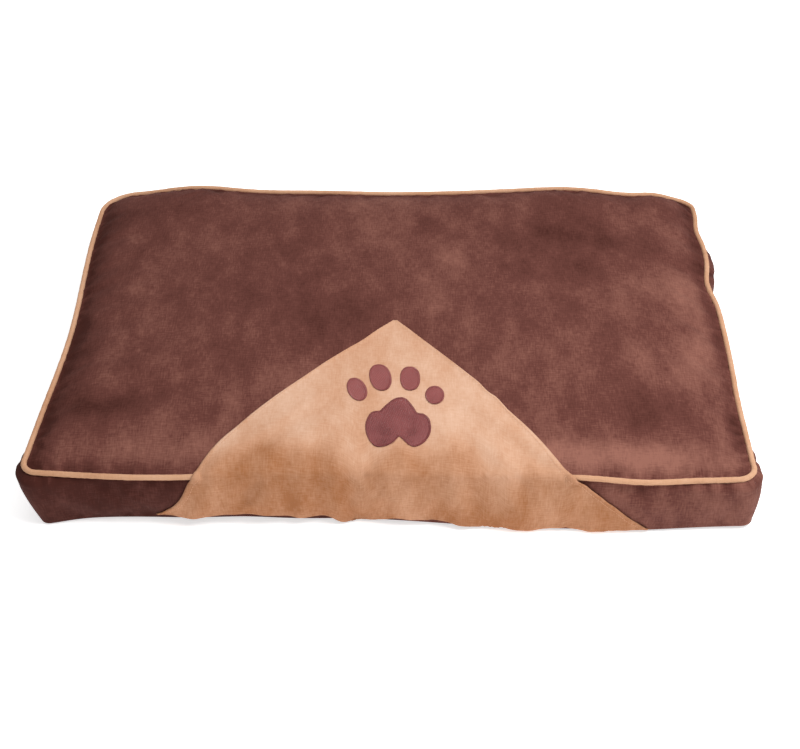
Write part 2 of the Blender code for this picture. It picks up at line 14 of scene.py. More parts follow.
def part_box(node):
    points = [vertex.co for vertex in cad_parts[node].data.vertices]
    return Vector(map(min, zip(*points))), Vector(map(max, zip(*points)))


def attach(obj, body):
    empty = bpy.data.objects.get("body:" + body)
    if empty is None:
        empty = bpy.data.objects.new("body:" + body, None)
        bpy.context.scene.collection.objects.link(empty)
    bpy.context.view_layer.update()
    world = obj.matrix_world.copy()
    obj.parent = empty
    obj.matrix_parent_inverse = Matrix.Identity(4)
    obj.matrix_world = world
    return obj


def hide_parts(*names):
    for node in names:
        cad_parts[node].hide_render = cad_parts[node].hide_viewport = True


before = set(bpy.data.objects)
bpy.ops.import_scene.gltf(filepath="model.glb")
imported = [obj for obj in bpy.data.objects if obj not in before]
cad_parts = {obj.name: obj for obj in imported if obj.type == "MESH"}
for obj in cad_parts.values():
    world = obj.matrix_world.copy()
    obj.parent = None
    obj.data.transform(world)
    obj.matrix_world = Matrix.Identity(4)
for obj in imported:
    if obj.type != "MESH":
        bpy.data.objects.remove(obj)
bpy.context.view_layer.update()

# --- Sizes read from the frame ---

PIPING_LOW, PIPING_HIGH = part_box("piping_cover")
PIPING = PIPING_HIGH.z - PIPING_LOW.z
HALF_LENGTH = PIPING_HIGH.x - PIPING / 2
HALF_DEPTH = PIPING_HIGH.y - PIPING / 2
SEAM_HEIGHT = (PIPING_HIGH.z + PIPING_LOW.z) / 2
CROWN_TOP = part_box("top_panel")[1].z
STRIP_LOW, STRIP_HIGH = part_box("back_boxing_upper")
ZIP_HALF = STRIP_HIGH.x
STRIP_FACE = STRIP_HIGH.y
STRIP_ABOVE = STRIP_LOW.z  # the cut edges above and below the zip
STRIP_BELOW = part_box("back_boxing_lower")[1].z
CHAIN_LOW, CHAIN_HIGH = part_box("zip_coil_upper")
CHAIN_MIDDLE = (STRIP_ABOVE + STRIP_BELOW) / 2
OVERLAY_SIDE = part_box("front_overlay")[1].x

# --- Cloth ---

CLOTH = 0.0012
LINER = 0.0006
COLUMNS = 124  # cells of the cover, left to right
ROWS = 86  # cells of the cover, front to back
WALL_ROWS = 9
ZIP_ROW = 4  # the row of the wall whose place is taken by the zip
FINE = 2  # how many times finer the finished cloth is than the simulated cloth
WALL_FINE = 3
CROWDING = 0.35  # 0 for even cells, 1 for none at all in the corners

# --- Shape of the stuffed cover ---

CORNERS = {  # where the two sides would meet, and the radius there
    "front_left": ((-HALF_LENGTH - 0.0005, -HALF_DEPTH - 0.0010), 0.016),
    "front_right": ((HALF_LENGTH - 0.0020, -HALF_DEPTH + 0.0010), 0.018),
    "back_right": ((HALF_LENGTH - 0.0035, HALF_DEPTH), 0.017),
    "back_left": ((-HALF_LENGTH + 0.0065, HALF_DEPTH), 0.043),
}
SEAM_TUGS = (  # place, pull along X, Y and Z on the piped seam, reach
    ((-0.400, -0.045), (0.0128, 0.0, 0.0), 0.160),
    ((0.400, 0.200), (-0.0040, 0.0, 0.0), 0.025),
    ((0.400, 0.080), (-0.0070, 0.0, 0.0), 0.035),
    ((0.400, -0.145), (-0.0020, 0.0, 0.0), 0.055),
    ((-0.380, 0.275), (0.0, 0.0, -0.0035), 0.060),
    ((-0.265, 0.275), (0.0, 0.0, 0.0085), 0.062),
    ((-0.185, 0.275), (0.0, 0.0, -0.0005), 0.050),
    ((-0.020, 0.275), (0.0, 0.0, -0.0015), 0.060),
    ((0.120, 0.275), (0.0, 0.0, 0.0018), 0.050),
    ((0.225, 0.275), (0.0, 0.0, 0.0130), 0.085),
    ((0.345, 0.275), (0.0, 0.0, 0.0055), 0.028),
    ((-0.260, -0.275), (0.0, -0.0020, -0.0065), 0.110),
    ((0.280, -0.275), (0.0, -0.0020, -0.0040), 0.050),
    ((0.400, -0.275), (0.0, 0.0, 0.0020), 0.025),
    ((0.400, 0.275), (0.0, 0.0, -0.0050), 0.030),
)
BASE_TUGS = (  # the same for the plain seam below
    ((-0.400, -0.275), (0.0085, -0.0095, -0.0010), 0.045),
    ((-0.270, -0.275), (0.0, 0.0010, 0.0022), 0.070),
    ((-0.160, -0.275), (0.0, 0.0035, 0.0015), 0.050),
    ((-0.040, -0.275), (0.0, 0.0052, 0.0), 0.080),
    ((0.150, -0.275), (0.0, -0.0060, 0.0), 0.080),
    ((0.270, -0.275), (0.0, -0.0070, 0.0), 0.070),
    ((0.400, -0.275), (0.0130, -0.0010, 0.0025), 0.055),
)
BASE_SEAM = 0.0028  # height of the plain seam, which the weight of the filling keeps low
BASE_INSET = 0.003  # how far in from the piped seam it lies
BOW = 1.72  # brings the most of the bowing to 1; it lies above the middle of the wall
BULGES = (  # place, how far the wall bows out beyond its seams, reach
    ((-0.400, -0.275), 0.0085, 0.050),
    ((0.400, -0.275), 0.0068, 0.090),
    ((0.400, 0.130), 0.0100, 0.080),
    ((-0.230, -0.275), 0.0030, 0.050),
)
SHOULDER = 0.045  # how far in from its edge the top panel does most of its rising
SWELL = 0.0040  # how far the wall already bows out before it is filled
EDGE_FADE = 0.16  # how far in from the edge a rise of the seam is still felt
ZIP_MARGIN = 0.02  # how near the zip counts as beside it
ZIP_EASE = 0.05  # over what length past its ends the wall turns from flat to bowed

# --- Simulation ---

FILL_FRAMES = 15
FILL_PRESSURE = 2.0
EASE = 0.008  # share by which the cloth is cut larger than the space it is pinned over
SWELL_KEPT = 0.05  # how much of its broad swelling the top panel keeps, since the pad is flat
FOLDS_KEPT = (0.9, 0.3)  # how much of its folds it keeps, beside the seams and far from them
FOLD_REACH = 0.07
MOST_SWELL = 0.014
BROAD = 60  # how many times the swelling is averaged to tell it from the folds
LOOSE_HOLD = 0.02  # how firmly the top panel is held in place while it fills, from 0 to 1
COVERED_HOLD = 0.25  # the same for the piped seam under the overlay
COVERED_SHARE = 0.72  # how much of the overlay's half width that seam is loose for

# --- Marks that use has left on the stuffed shape ---

DENTS = (  # place, half length and half width, turn in degrees, depth
    ((-0.285, -0.165), (0.085, 0.028), 6, 0.0060),
    ((-0.180, -0.215), (0.040, 0.018), -20, 0.0030),
    ((0.300, 0.180), (0.060, 0.030), 30, 0.0025),
    ((-0.050, 0.120), (0.110, 0.050), 10, 0.0020),
    ((0.250, -0.080), (0.090, 0.050), -15, -0.0020),
    ((0.368, 0.095), (0.034, 0.0070), -22, 0.0030),
    ((0.372, 0.030), (0.036, 0.0065), -32, 0.0032),
    ((0.374, -0.035), (0.032, 0.0065), -42, 0.0032),
    ((0.366, -0.095), (0.028, 0.0070), -36, 0.0024),
    ((0.376, -0.243), (0.022, 0.0050), 52, 0.0030),
    ((0.352, -0.250), (0.017, 0.0048), 66, 0.0026),
    ((-0.374, -0.120), (0.030, 0.0070), 34, 0.0024),
    ((-0.366, 0.040), (0.030, 0.0075), 24, 0.0022),
)
TOP_GATHERS = ((0.007, 0.016), (0.0022, 0.0044), (0.007, 0.016))  # least and most spacing, depth and reach
WALL_GATHERS = ((0.009, 0.024), (0.0012, 0.0036), (0.009, 0.024))  # below the piped seam
BASE_GATHERS = ((0.010, 0.026), (0.0006, 0.0020), (0.008, 0.020))  # above the plain seam
MOST_TOP_GATHER = 0.0040
MOST_WALL_GATHER = 0.0036
DENT_FADE = 0.015  # how far in from the edge of the top panel a dent comes near its full depth
SEAM_FADE = 0.004  # how far from its seam a gather reaches its full depth
ZIP_FADE = 0.012  # the same for the cut edges at the zip
HELD_FLAT = (-0.008, 0.218)  # X of the middle of the cover that the overlay hides, and how far it reaches


def crowded(count):
    """Shares from 0 to 1 whose steps are shorter towards both ends."""
    share = np.linspace(0.0, 1.0, count + 1)
    return share - CROWDING * np.sin(math.tau * share) / math.tau


def tugged(ring, tugs):
    """Moves a ring of points by the pulls on it."""
    moved = ring.copy()
    for place, pull, reach in tugs:
        felt = np.exp(-((ring[:, :2] - place) ** 2).sum(axis=1) / reach**2)
        moved += felt[:, None] * pull
    return moved


def outline():
    """Plan points of the piped seam before it is tugged, anticlockwise from the middle of the front left
    corner, and the outward direction at each."""
    names = list(CORNERS)
    plan, outward = [], []
    for side, start in enumerate(names):
        (near, near_radius), (far, far_radius) = CORNERS[start], CORNERS[names[(side + 1) % 4]]
        near, far = np.array(near), np.array(far)
        along = (far - near) / np.linalg.norm(far - near)
        out = np.array((along[1], -along[0]))
        near_arc, far_arc = near_radius * math.pi / 4, far_radius * math.pi / 4
        straight = np.linalg.norm(far - near) - near_radius - far_radius
        count = ROWS if side % 2 else COLUMNS
        for way in crowded(count)[:-1] * (near_arc + straight + far_arc):
            if way < near_arc:
                turn = way / near_radius - math.pi / 4
                centre, radius = near + (along - out) * near_radius, near_radius
            elif way < near_arc + straight:
                turn = 0.0
                centre, radius = near + along * (near_radius + way - near_arc), 0.0
            else:
                turn = (way - near_arc - straight) / far_radius
                centre, radius = far - (along + out) * far_radius, far_radius
            facing = out * math.cos(turn) + along * math.sin(turn)
            plan.append(centre + facing * radius)
            outward.append(facing)
    return np.array(plan), np.array(outward)


def borders(ring):
    """The front, right, back and left borders of a ring, each from left to right or front to back."""
    right, back, left = COLUMNS, COLUMNS + ROWS, 2 * COLUMNS + ROWS
    looped = np.concatenate([ring, ring[:1]])
    return looped[: right + 1], looped[right : back + 1], looped[back : left + 1][::-1], looped[left:][::-1]


def spanned(ring, across, along):
    """A grid that fills a ring.  across and along are the weights of the far borders."""
    front, right, back, left = borders(ring)
    u, v = across[None, :, None], along[:, None, None]
    near_u, near_v = across[::-1][None, :, None], along[::-1][:, None, None]
    grid = near_v * front[None] + v * back[None] + near_u * left[:, None] + u * right[:, None]
    for weight, corner in (
        (near_u * near_v, front[0]), (u * near_v, front[-1]), (near_u * v, back[0]), (u * v, back[-1])
    ):
        grid = grid - weight * corner
    return grid


def faded(share, length):
    """A weight that is 1 at the far border and 0 further from it than a rise of the seam is felt."""
    near = np.clip(1 - (1 - share) * length / EDGE_FADE, 0.0, 1.0)
    return near * near * (3 - 2 * near)


def shouldered(distance):
    """How much of its full rise the top panel has at a distance from its edge."""
    return 1 - np.exp(-((np.maximum(distance, 0.0) / SHOULDER) ** 0.8))


def slack_cover():
    """The cover before it is filled: a grid for the top and a grid for the wall."""
    plan, outward = outline()
    seam = tugged(np.column_stack([plan, np.full(len(plan), SEAM_HEIGHT)]), SEAM_TUGS)
    under = plan - outward * BASE_INSET
    base = tugged(np.column_stack([under, np.full(len(plan), BASE_SEAM)]), BASE_TUGS)
    swell = SWELL + sum(
        out * np.exp(-((plan - place) ** 2).sum(axis=1) / reach**2) for place, out, reach in BULGES
    )
    across, along = crowded(COLUMNS), crowded(ROWS)
    flat = spanned(seam[:, :2], across, along)
    rise = spanned(
        seam[:, 2:] - SEAM_HEIGHT,
        faded(across, 2 * HALF_LENGTH), faded(along, 2 * HALF_DEPTH),
    )[..., 0]
    front, right, back, left = borders(seam[:, :2])
    to_front, to_back = flat[..., 1] - front[:, 1], back[:, 1] - flat[..., 1]
    to_left, to_right = flat[..., 0] - left[:, :1], right[:, :1] - flat[..., 0]
    crown = CROWN_TOP - SEAM_HEIGHT
    for distance in (to_front, to_back, to_left, to_right):
        crown = crown * shouldered(distance)
    top = np.dstack([flat, SEAM_HEIGHT + rise + crown])
    bowed = np.column_stack([outward * swell[:, None], np.zeros(len(plan))])
    shares = np.linspace(0.0, 1.0, WALL_ROWS + 1)[:, None, None]
    wall = seam + (base - seam) * shares + bowed * BOW * shares**0.2 * (1 - shares)
    return top, zip_fitted(wall)


def at_back(wall):
    """Which columns of the wall are in its back."""
    return wall[0, :, 1] > HALF_DEPTH - ZIP_MARGIN


def beside_zip(wall):
    """Which columns of the wall hold the zip or lie close beside its ends."""
    return at_back(wall) & (np.abs(wall[0, :, 0]) < ZIP_HALF + ZIP_MARGIN)


def zip_fitted(wall):
    """Moves the back of the wall so that its cut edges run straight above and below the zip."""
    wall = wall.copy()
    behind = at_back(wall).astype(float)
    reach = np.abs(wall[0, :, 0])
    near_zip = behind * np.clip((ZIP_HALF + ZIP_EASE - reach) / ZIP_EASE, 0.0, 1.0)
    for row in range(WALL_ROWS + 1):
        if row <= ZIP_ROW:
            share = row / ZIP_ROW
            height = wall[0, :, 2] + (STRIP_ABOVE - wall[0, :, 2]) * share
        else:
            share = (WALL_ROWS - row) / (WALL_ROWS - ZIP_ROW - 1)
            height = wall[-1, :, 2] + (STRIP_BELOW - wall[-1, :, 2]) * share
        face = HALF_DEPTH + (STRIP_FACE - HALF_DEPTH) * math.sin(share * math.pi / 2)
        wall[row, :, 1] += (face - wall[row, :, 1]) * near_zip * (0 < row < WALL_ROWS)
        wall[row, :, 2] += (height - wall[row, :, 2]) * near_zip
    return wall


def quads(rows, columns, first=0, closed=False):
    """Vertex numbers of the faces of a grid that is stored row by row."""
    row, column = np.indices((rows - 1, columns if closed else columns - 1))
    near, far = row * columns, (row + 1) * columns
    beside = (column + 1) % columns
    corners = (near + column, near + beside, far + beside, far + column)
    return first + np.stack(corners, axis=-1).reshape(-1, 4)


def ring_faces(rows):
    """Vertex numbers of the faces between closed rows of points, for each row but the last."""
    beside = np.roll(rows, -1, axis=1)
    return np.stack([rows[:-1], rows[1:], beside[1:], beside[:-1]], axis=-1)


def ring_in_grid():
    """Where each point of the seam ring lies in the top grid, as a flat vertex number."""
    numbers = np.arange((ROWS + 1) * (COLUMNS + 1)).reshape(ROWS + 1, COLUMNS + 1)
    return np.concatenate([
        numbers[0, :-1], numbers[:-1, -1], numbers[-1, :0:-1], numbers[:0:-1, 0]
    ])


def blurred(grid, times):
    """A grid averaged with its neighbours, over and over."""
    for _ in range(times):
        wide = np.pad(grid, ((1, 1), (1, 1), (0, 0)), mode="edge")
        beside = wide[:-2, 1:-1] + wide[2:, 1:-1] + wide[1:-1, :-2] + wide[1:-1, 2:]
        grid = (wide[1:-1, 1:-1] * 2 + beside) / 6
    return grid


def side_distances(top):
    """Plan distance of each point of the top panel from its front, right, back and left borders."""
    x, y = top[..., 0], top[..., 1]
    return y - y[:1], x[:, -1:] - x, y[-1:] - y, x - x[:, :1]


def edge_distance(top):
    """Plan distance of each point of the top panel from its nearest border."""
    return np.minimum.reduce(side_distances(top))


def filled(top, wall):
    """Presses the slack cover out with its filling, with its seams held, and returns both grids."""
    ring = ring_in_grid()
    count = top.shape[0] * top.shape[1]
    points = np.concatenate([top.reshape(-1, 3), wall[1:].reshape(-1, 3)])
    below = count + np.arange(wall[1:].size // 3).reshape(WALL_ROWS, -1)
    rows = np.vstack([ring[None], below])
    faces = np.concatenate([quads(*top.shape[:2]), ring_faces(rows).reshape(-1, 4)])

    hold = np.zeros(len(points))
    hold[:count] = LOOSE_HOLD
    covered = (np.abs(wall[0, :, 0]) < OVERLAY_SIDE * COVERED_SHARE) & (wall[0, :, 1] < 0)
    hold[ring] = np.where(covered, COVERED_HOLD, 1.0)
    hold[below[-1]] = 1.0
    for row in (ZIP_ROW, ZIP_ROW + 1):
        hold[below[row - 1][beside_zip(wall)]] = 1.0

    cover = linked("cover being filled", mesh_of("cover being filled", points, faces))
    sewn = cover.vertex_groups.new(name="sewn")
    for number, weight in enumerate(hold):
        if weight > 0:
            sewn.add([number], float(weight), "REPLACE")
    cloth = cover.modifiers.new("cloth", "CLOTH")
    settings = cloth.settings
    settings.quality = 6
    settings.mass = 0.20
    settings.tension_stiffness = 25
    settings.compression_stiffness = 25
    settings.shear_stiffness = 10
    settings.bending_stiffness = 0.25
    settings.vertex_group_mass = sewn.name
    settings.use_pressure = True
    settings.uniform_pressure_force = FILL_PRESSURE
    settings.shrink_min = -EASE
    settings.effector_weights.gravity = 0.0
    cloth.collision_settings.use_collision = False
    cloth.point_cache.frame_end = FILL_FRAMES
    for step in range(1, FILL_FRAMES + 1):
        bpy.context.scene.frame_set(step)
    evaluated = cover.evaluated_get(bpy.context.evaluated_depsgraph_get())
    found = np.empty(len(points) * 3, np.float32)
    evaluated.data.vertices.foreach_get("co", found)
    bpy.data.objects.remove(cover)
    bpy.context.scene.frame_set(1)
    moved = found.reshape(-1, 3).astype(float) - points
    swell = moved[:count].reshape(top.shape)
    broad = blurred(swell, BROAD)
    near, far = FOLDS_KEPT
    beside = np.exp(-edge_distance(top) / FOLD_REACH)[..., None]
    swell = SWELL_KEPT * broad + (far + (near - far) * beside) * (swell - broad)
    moved[:count] = swell.reshape(-1, 3)
    reach = np.linalg.norm(moved, axis=1, keepdims=True)
    points = points + moved * np.minimum(1.0, MOST_SWELL / np.maximum(reach, 1e-9))
    return points[:count].reshape(top.shape), points[rows]


# --- Finishing the cloth ---


def finer(grid, times, axis, closed=False):
    """The grid with more points along one axis, on smooth curves through its own."""
    grid = np.moveaxis(grid, axis, 0)
    if closed:
        wide = np.concatenate([grid[-1:], grid, grid[:2]])
    else:
        wide = np.concatenate([2 * grid[:1] - grid[1:2], grid, 2 * grid[-1:] - grid[-2:-1]])
    a, b, c, d = wide[:-3], wide[1:-2], wide[2:-1], wide[3:]
    made = [
        b + 0.5 * t * (c - a + t * (2 * a - 5 * b + 4 * c - d + t * (3 * (b - c) + d - a)))
        for t in np.arange(times) / times
    ]
    made = np.stack(made, axis=1).reshape(-1, *grid.shape[1:])
    if not closed:
        made = np.concatenate([made, grid[-1:]])
    return np.moveaxis(made, 0, axis)


def facing(grid, closed=False):
    """Unit normals of a grid whose columns run anticlockwise round what its rows run down, or whose columns
    run right and rows run back."""
    if closed:
        wide = np.concatenate([grid[:, -1:], grid, grid[:, :1]], axis=1)
        across = (wide[:, 2:] - wide[:, :-2]) / 2
    else:
        across = np.gradient(grid, axis=1)
    normal = np.cross(across, np.gradient(grid, axis=0))
    return normal / np.maximum(np.linalg.norm(normal, axis=-1, keepdims=True), 1e-12)


def outward_of(grid, closed=False):
    """Unit normals of a grid whose rows run down, such as the wall."""
    return facing(grid[::-1], closed)[::-1]


def gathered(along, away, spacing, depth, reach, seed):
    """Depth of the little gathers that run away from a seam, by the distance along it and away from it."""
    rng = np.random.default_rng(seed)
    field = np.zeros(np.broadcast(along, away).shape)
    place = along.min() + rng.uniform(*spacing) / 2
    while place < along.max():
        width, deep = rng.uniform(0.0030, 0.0055), rng.uniform(*depth)
        far, lean = rng.uniform(*reach), rng.normal(0.0, 0.25)
        fold = np.exp(-np.abs((along - place - lean * away) / (width + 0.20 * away)) ** 2)
        field += deep * fold * np.exp(-((away / far) ** 1.5))
        place += rng.uniform(*spacing)
    return field


def length_along(line):
    """Distance along a line of points from its first."""
    steps = np.linalg.norm(np.diff(line, axis=0), axis=1)
    return np.concatenate([[0.0], np.cumsum(steps)])


def marked(grid, marks):
    """The sum of soft oval marks, each of a place, half length and half width, turn and strength."""
    x, y = grid[..., 0], grid[..., 1]
    total = np.zeros(x.shape)
    for (place_x, place_y), (half_length, half_width), turn, strength in marks:
        cos, sin = math.cos(math.radians(turn)), math.sin(math.radians(turn))
        across = ((x - place_x) * cos + (y - place_y) * sin) / half_length
        along = ((y - place_y) * cos - (x - place_x) * sin) / half_width
        total += strength * np.exp(-(across**2) - along**2)
    return total


def dented(top):
    """The top panel with its dents pressed in."""
    pressed = top.copy()
    pressed[..., 2] -= marked(top, DENTS) * (1 - np.exp(-edge_distance(top) / DENT_FADE))
    return pressed


def uncovered(grid):
    """One on the cover beside the overlay, and nearly nothing under it, where the cloth is held flat."""
    middle, reach = HELD_FLAT
    under = np.exp(-(((grid[..., 0] - middle) / reach) ** 10)) * (grid[..., 1] < -0.1)
    return 1 - 0.9 * under


def finished_top(top):
    """The top panel at its full fineness, dented and gathered along its seams."""
    top = dented(finer(finer(top, FINE, 0), FINE, 1))
    depth = np.zeros(top.shape[:2])
    lines = (top[0], top[:, -1], top[-1], top[:, 0])
    for side, (line, away) in enumerate(zip(lines, side_distances(top))):
        along = length_along(line)
        along = along[:, None] if side % 2 else along[None]
        fade = np.clip(away / SEAM_FADE, 0.0, 1.0)
        depth += fade * gathered(along, away, *TOP_GATHERS, 10 + side)
    depth = MOST_TOP_GATHER * np.tanh(depth / MOST_TOP_GATHER) * uncovered(top)
    return top - facing(top) * depth[..., None], depth


def finished_wall(wall):
    """The wall at its full fineness, gathered along both its seams except beside the zip."""
    wall = finer(finer(wall, WALL_FINE, 0), FINE, 1, closed=True)
    along = length_along(wall[0])[None]
    below = wall[0, :, 2] - wall[..., 2]
    above = wall[..., 2] - wall[-1, :, 2]
    depth = gathered(along, below, *WALL_GATHERS, 20) + gathered(along, above, *BASE_GATHERS, 21)
    level = np.minimum(np.abs(wall[..., 2] - STRIP_ABOVE), np.abs(wall[..., 2] - STRIP_BELOW))
    straight = np.where(beside_zip(wall)[None], np.clip(level / ZIP_FADE, 0.0, 1.0), 1.0)
    ends = np.clip(np.minimum(below, above) / SEAM_FADE, 0.0, 1.0)
    depth = MOST_WALL_GATHER * np.tanh(depth / MOST_WALL_GATHER) * straight * ends * uncovered(wall)
    return wall - outward_of(wall, closed=True) * depth[..., None], depth


# --- Making pieces from grids ---


def linked(name, data):
    """A new object in the scene."""
    made = bpy.data.objects.new(name, data)
    bpy.context.scene.collection.objects.link(made)
    return made


def piece(name, mesh, finish, *nodes):
    """Puts a mesh in the scene as a finished piece of the cushion that stands for the given nodes."""
    mesh.materials.append(finish)
    mesh.shade_smooth()
    made = linked(name, mesh)
    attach(made, "cushion")
    if nodes:
        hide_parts(*nodes)
    return made


def mesh_of(name, points, faces, uv=None, nap_and_painted_light=None):
    """A mesh from arrays, with its cloth coordinates in metres and how dark its nap and its painted light and
    shade lie, if given.
    """
    mesh = bpy.data.meshes.new(name)
    mesh.from_pydata(points.tolist(), [], faces if isinstance(faces, list) else faces.tolist())
    if uv is not None:
        layer = mesh.uv_layers.new(name="cloth")
        corners = np.empty(len(mesh.loops), np.int32)
        mesh.loops.foreach_get("vertex_index", corners)
        layer.data.foreach_set("uv", uv[corners].astype(np.float32).ravel())
    if nap_and_painted_light is not None:
        mesh.attributes.new("nap_and_painted_light", "FLOAT", "POINT").data.foreach_set("value", nap_and_painted_light.astype(np.float32))
    return mesh


def thickened(made, thickness):
    """Gives a sheet its thickness, inwards from its outer face."""
    wall = made.modifiers.new("thickness", "SOLIDIFY")
    wall.thickness = thickness
    wall.offset = -1.0


def cloth_piece(name, grid, uv, finish, *nodes, closed=False, thickness=CLOTH, flipped=False, nap_and_painted_light=None):
    """A panel of cloth from a grid of points on its outer face."""
    rows, columns = grid.shape[:2]
    faces = quads(rows, columns, closed=closed)
    if flipped:
        faces = faces[:, ::-1]
    flat_nap = None if nap_and_painted_light is None else nap_and_painted_light.ravel()
    mesh = mesh_of(name, grid.reshape(-1, 3), faces, uv.reshape(-1, 2), flat_nap)
    made = piece(name, mesh, finish, *nodes)
    thickened(made, thickness)
    return made


def loops_mesh(name, loops, uv=None):
    """A closed skin through rings of equally many points, each end closed onto its middle."""
    count = len(loops[0])
    points = np.concatenate([*loops, [loops[0].mean(axis=0), loops[-1].mean(axis=0)]])
    faces = quads(len(loops), count, closed=True)[:, ::-1].tolist()
    first, last = len(points) - 2, (len(loops) - 1) * count
    for i in range(count):
        beside = (i + 1) % count
        faces.append((first, i, beside))
        faces.append((first + 1, last + beside, last + i))
    if uv is not None:
        uv = np.concatenate([uv.reshape(-1, 2), uv[0, :1], uv[-1, :1]])
    return mesh_of(name, points, faces, uv)


# --- Finishes ---


def add_node(tree, kind, settings=None, values=None):
    """Adds a node with its settings, and links or sets its sockets."""
    made = tree.nodes.new(kind)
    for setting, value in (settings or {}).items():
        setattr(made, setting, value)
    for key, value in (values or {}).items():
        socket = made.inputs[key]
        if isinstance(key, str) and not socket.enabled:
            socket = next(other for other in made.inputs if other.name == key and other.enabled)
        if isinstance(value, bpy.types.NodeSocket):
            tree.links.new(value, socket)
        else:
            socket.default_value = value
    return made


class Value:
    """One output of a shader node, which adds Math nodes when it is used in an expression."""

    def __init__(self, finish, socket):
        self.finish = finish
        self.socket = socket

    def maths(self, operation, *values):
        return self.finish.node("ShaderNodeMath", {"operation": operation}, dict(enumerate(values)))

    def __add__(self, other):
        return self.maths("ADD", self, other)

    def __sub__(self, other):
        return self.maths("SUBTRACT", self, other)

    def __rsub__(self, other):
        return self.maths("SUBTRACT", other, self)

    def __mul__(self, other):
        return self.maths("MULTIPLY", self, other)

    def sine(self):
        return self.maths("SINE", self)

    def clipped(self, low, high):
        """This value from low to high, spread over 0 to 1."""
        return self.finish.node(
            "ShaderNodeMapRange", {"clamp": True}, {"Value": self, "From Min": low, "From Max": high}
        )

    __radd__ = __add__
    __rmul__ = __mul__


class Finish:
    """A material being made for one of the record's slots."""

    def __init__(self, name, slot, **constants):
        self.material = bpy.data.materials.new(name)
        self.material.use_nodes = True
        self.material["slot"] = slot
        self.tree = self.material.node_tree
        self.shader = self.tree.nodes["Principled BSDF"]
        for socket, value in constants.items():
            self.shader.inputs[socket.replace("_", " ")].default_value = value

    def node(self, kind, settings=None, values=None, output=0):
        """Adds a node and gives one of its outputs."""
        sockets = {
            key: value.socket if isinstance(value, Value) else value for key, value in (values or {}).items()
        }
        return Value(self, add_node(self.tree, kind, settings, sockets).outputs[output])

    def place(self):
        return self.node("ShaderNodeTexCoord", output="Object")

    def cloth_place(self):
        return self.node("ShaderNodeUVMap", {"uv_map": "cloth"})

    def stretched(self, vector, scale, turn=0.0):
        values = {"Vector": vector, "Scale": scale, "Rotation": (0.0, 0.0, turn)}
        return self.node("ShaderNodeMapping", None, values)

    def noise(self, vector, scale, detail=2.0, roughness=0.5, distortion=0.0):
        values = {
            "Vector": vector, "Scale": scale, "Detail": detail, "Roughness": roughness,
            "Distortion": distortion,
        }
        return self.node("ShaderNodeTexNoise", None, values)

    def mixed(self, share, first, second):
        return self.node("ShaderNodeMix", {"data_type": "RGBA"}, {0: share, 6: first, 7: second}, 2)

    def bump(self, height, distance, strength=1.0):
        return self.node(
            "ShaderNodeBump", None, {"Height": height, "Distance": distance, "Strength": strength}
        )

    def finished(self, **links):
        """Links values to the shader's sockets and returns the material."""
        for socket, value in links.items():
            self.tree.links.new(value.socket, self.shader.inputs[socket.replace("_", " ")])
        return self.material


def colour(red, green, blue):
    """A linear colour from the 0 to 255 values that a paint chart gives."""
    shares = [value / 255 for value in (red, green, blue)]
    return (*[s / 12.92 if s <= 0.04045 else ((s + 0.055) / 1.055) ** 2.4 for s in shares], 1.0)


def suede(name, slot, dark, middle, light, weave, has_nap_and_painted_light=False):
    """Short-napped suede cloth: cloudy where the nap lies over, with faint threads across and along, and with
    the painted light and shade that its mesh carries, where asked for.
    """
    made = Finish(
        name, slot, Roughness=0.9, Sheen_Weight=0.1, Sheen_Roughness=0.35,
        Sheen_Tint=light, Specular_IOR_Level=0.12,
    )
    place, cloth = made.place(), made.cloth_place()
    clouds = made.noise(place, 6.5, 3.0, 0.55, 0.2)
    brushed = made.noise(made.stretched(cloth, (30.0, 16.0, 1.0), 0.06), 1.0, 4.0, 0.62, 0.2)
    across = made.noise(made.stretched(cloth, (90.0, 620.0, 1.0)), 1.0, 2.0, 0.6)
    along = made.noise(made.stretched(cloth, (620.0, 90.0, 1.0)), 1.0, 2.0, 0.6)
    fuzz = made.noise(place, 1300.0, 2.0, 0.7)
    nap_and_painted_light = clouds * 0.35 + brushed * 0.40 + 0.125
    if has_nap_and_painted_light:
        nap_and_painted_light = nap_and_painted_light + made.node("ShaderNodeAttribute", {"attribute_name": "nap_and_painted_light"}, output=2)
    threads = across * 0.5 + along * 0.5
    nap_and_painted_light = nap_and_painted_light + (threads - 0.5) * weave
    shade = made.mixed(nap_and_painted_light.clipped(0.26, 0.50), dark, middle)
    shade = made.mixed(nap_and_painted_light.clipped(0.50, 0.76), shade, light)
    fine = made.bump(threads * 0.7 + fuzz * 0.5, 0.0006, 0.6)
    return made.finished(Base_Color=shade, Normal=fine)


def woven(name, slot, dark, light, across, along):
    """Plain woven cloth with a thread count, in threads per metre each way."""
    made = Finish(name, slot, Roughness=0.85, Specular_IOR_Level=0.2, Sheen_Weight=0.1)
    split = made.node("ShaderNodeSeparateXYZ", None, {0: made.cloth_place()})
    other = Value(made, split.socket.node.outputs[1])
    weave = (split * (math.tau * across)).sine() * (other * (math.tau * along)).sine() * 0.5 + 0.5
    worn = made.noise(made.place(), 30.0, 3.0, 0.6)
    shade = made.mixed(weave * 0.5 + worn.clipped(0.35, 0.7) * 0.5, dark, light)
    return made.finished(Base_Color=shade, Normal=made.bump(weave, 0.0003, 0.6))


def threaded(name, slot, dark, light):
    """Satin thread."""
    made = Finish(
        name, slot, Roughness=0.45, Sheen_Weight=0.3, Sheen_Roughness=0.3, Specular_IOR_Level=0.35
    )
    place = made.place()
    patches = made.noise(place, 60.0, 2.0, 0.5)
    strands = made.noise(place, 900.0, 2.0, 0.6)
    shade = made.mixed(patches.clipped(0.25, 0.75) * 0.4 + strands * 0.6, dark, light)
    return made.finished(Base_Color=shade, Normal=made.bump(strands, 0.0003, 0.4))


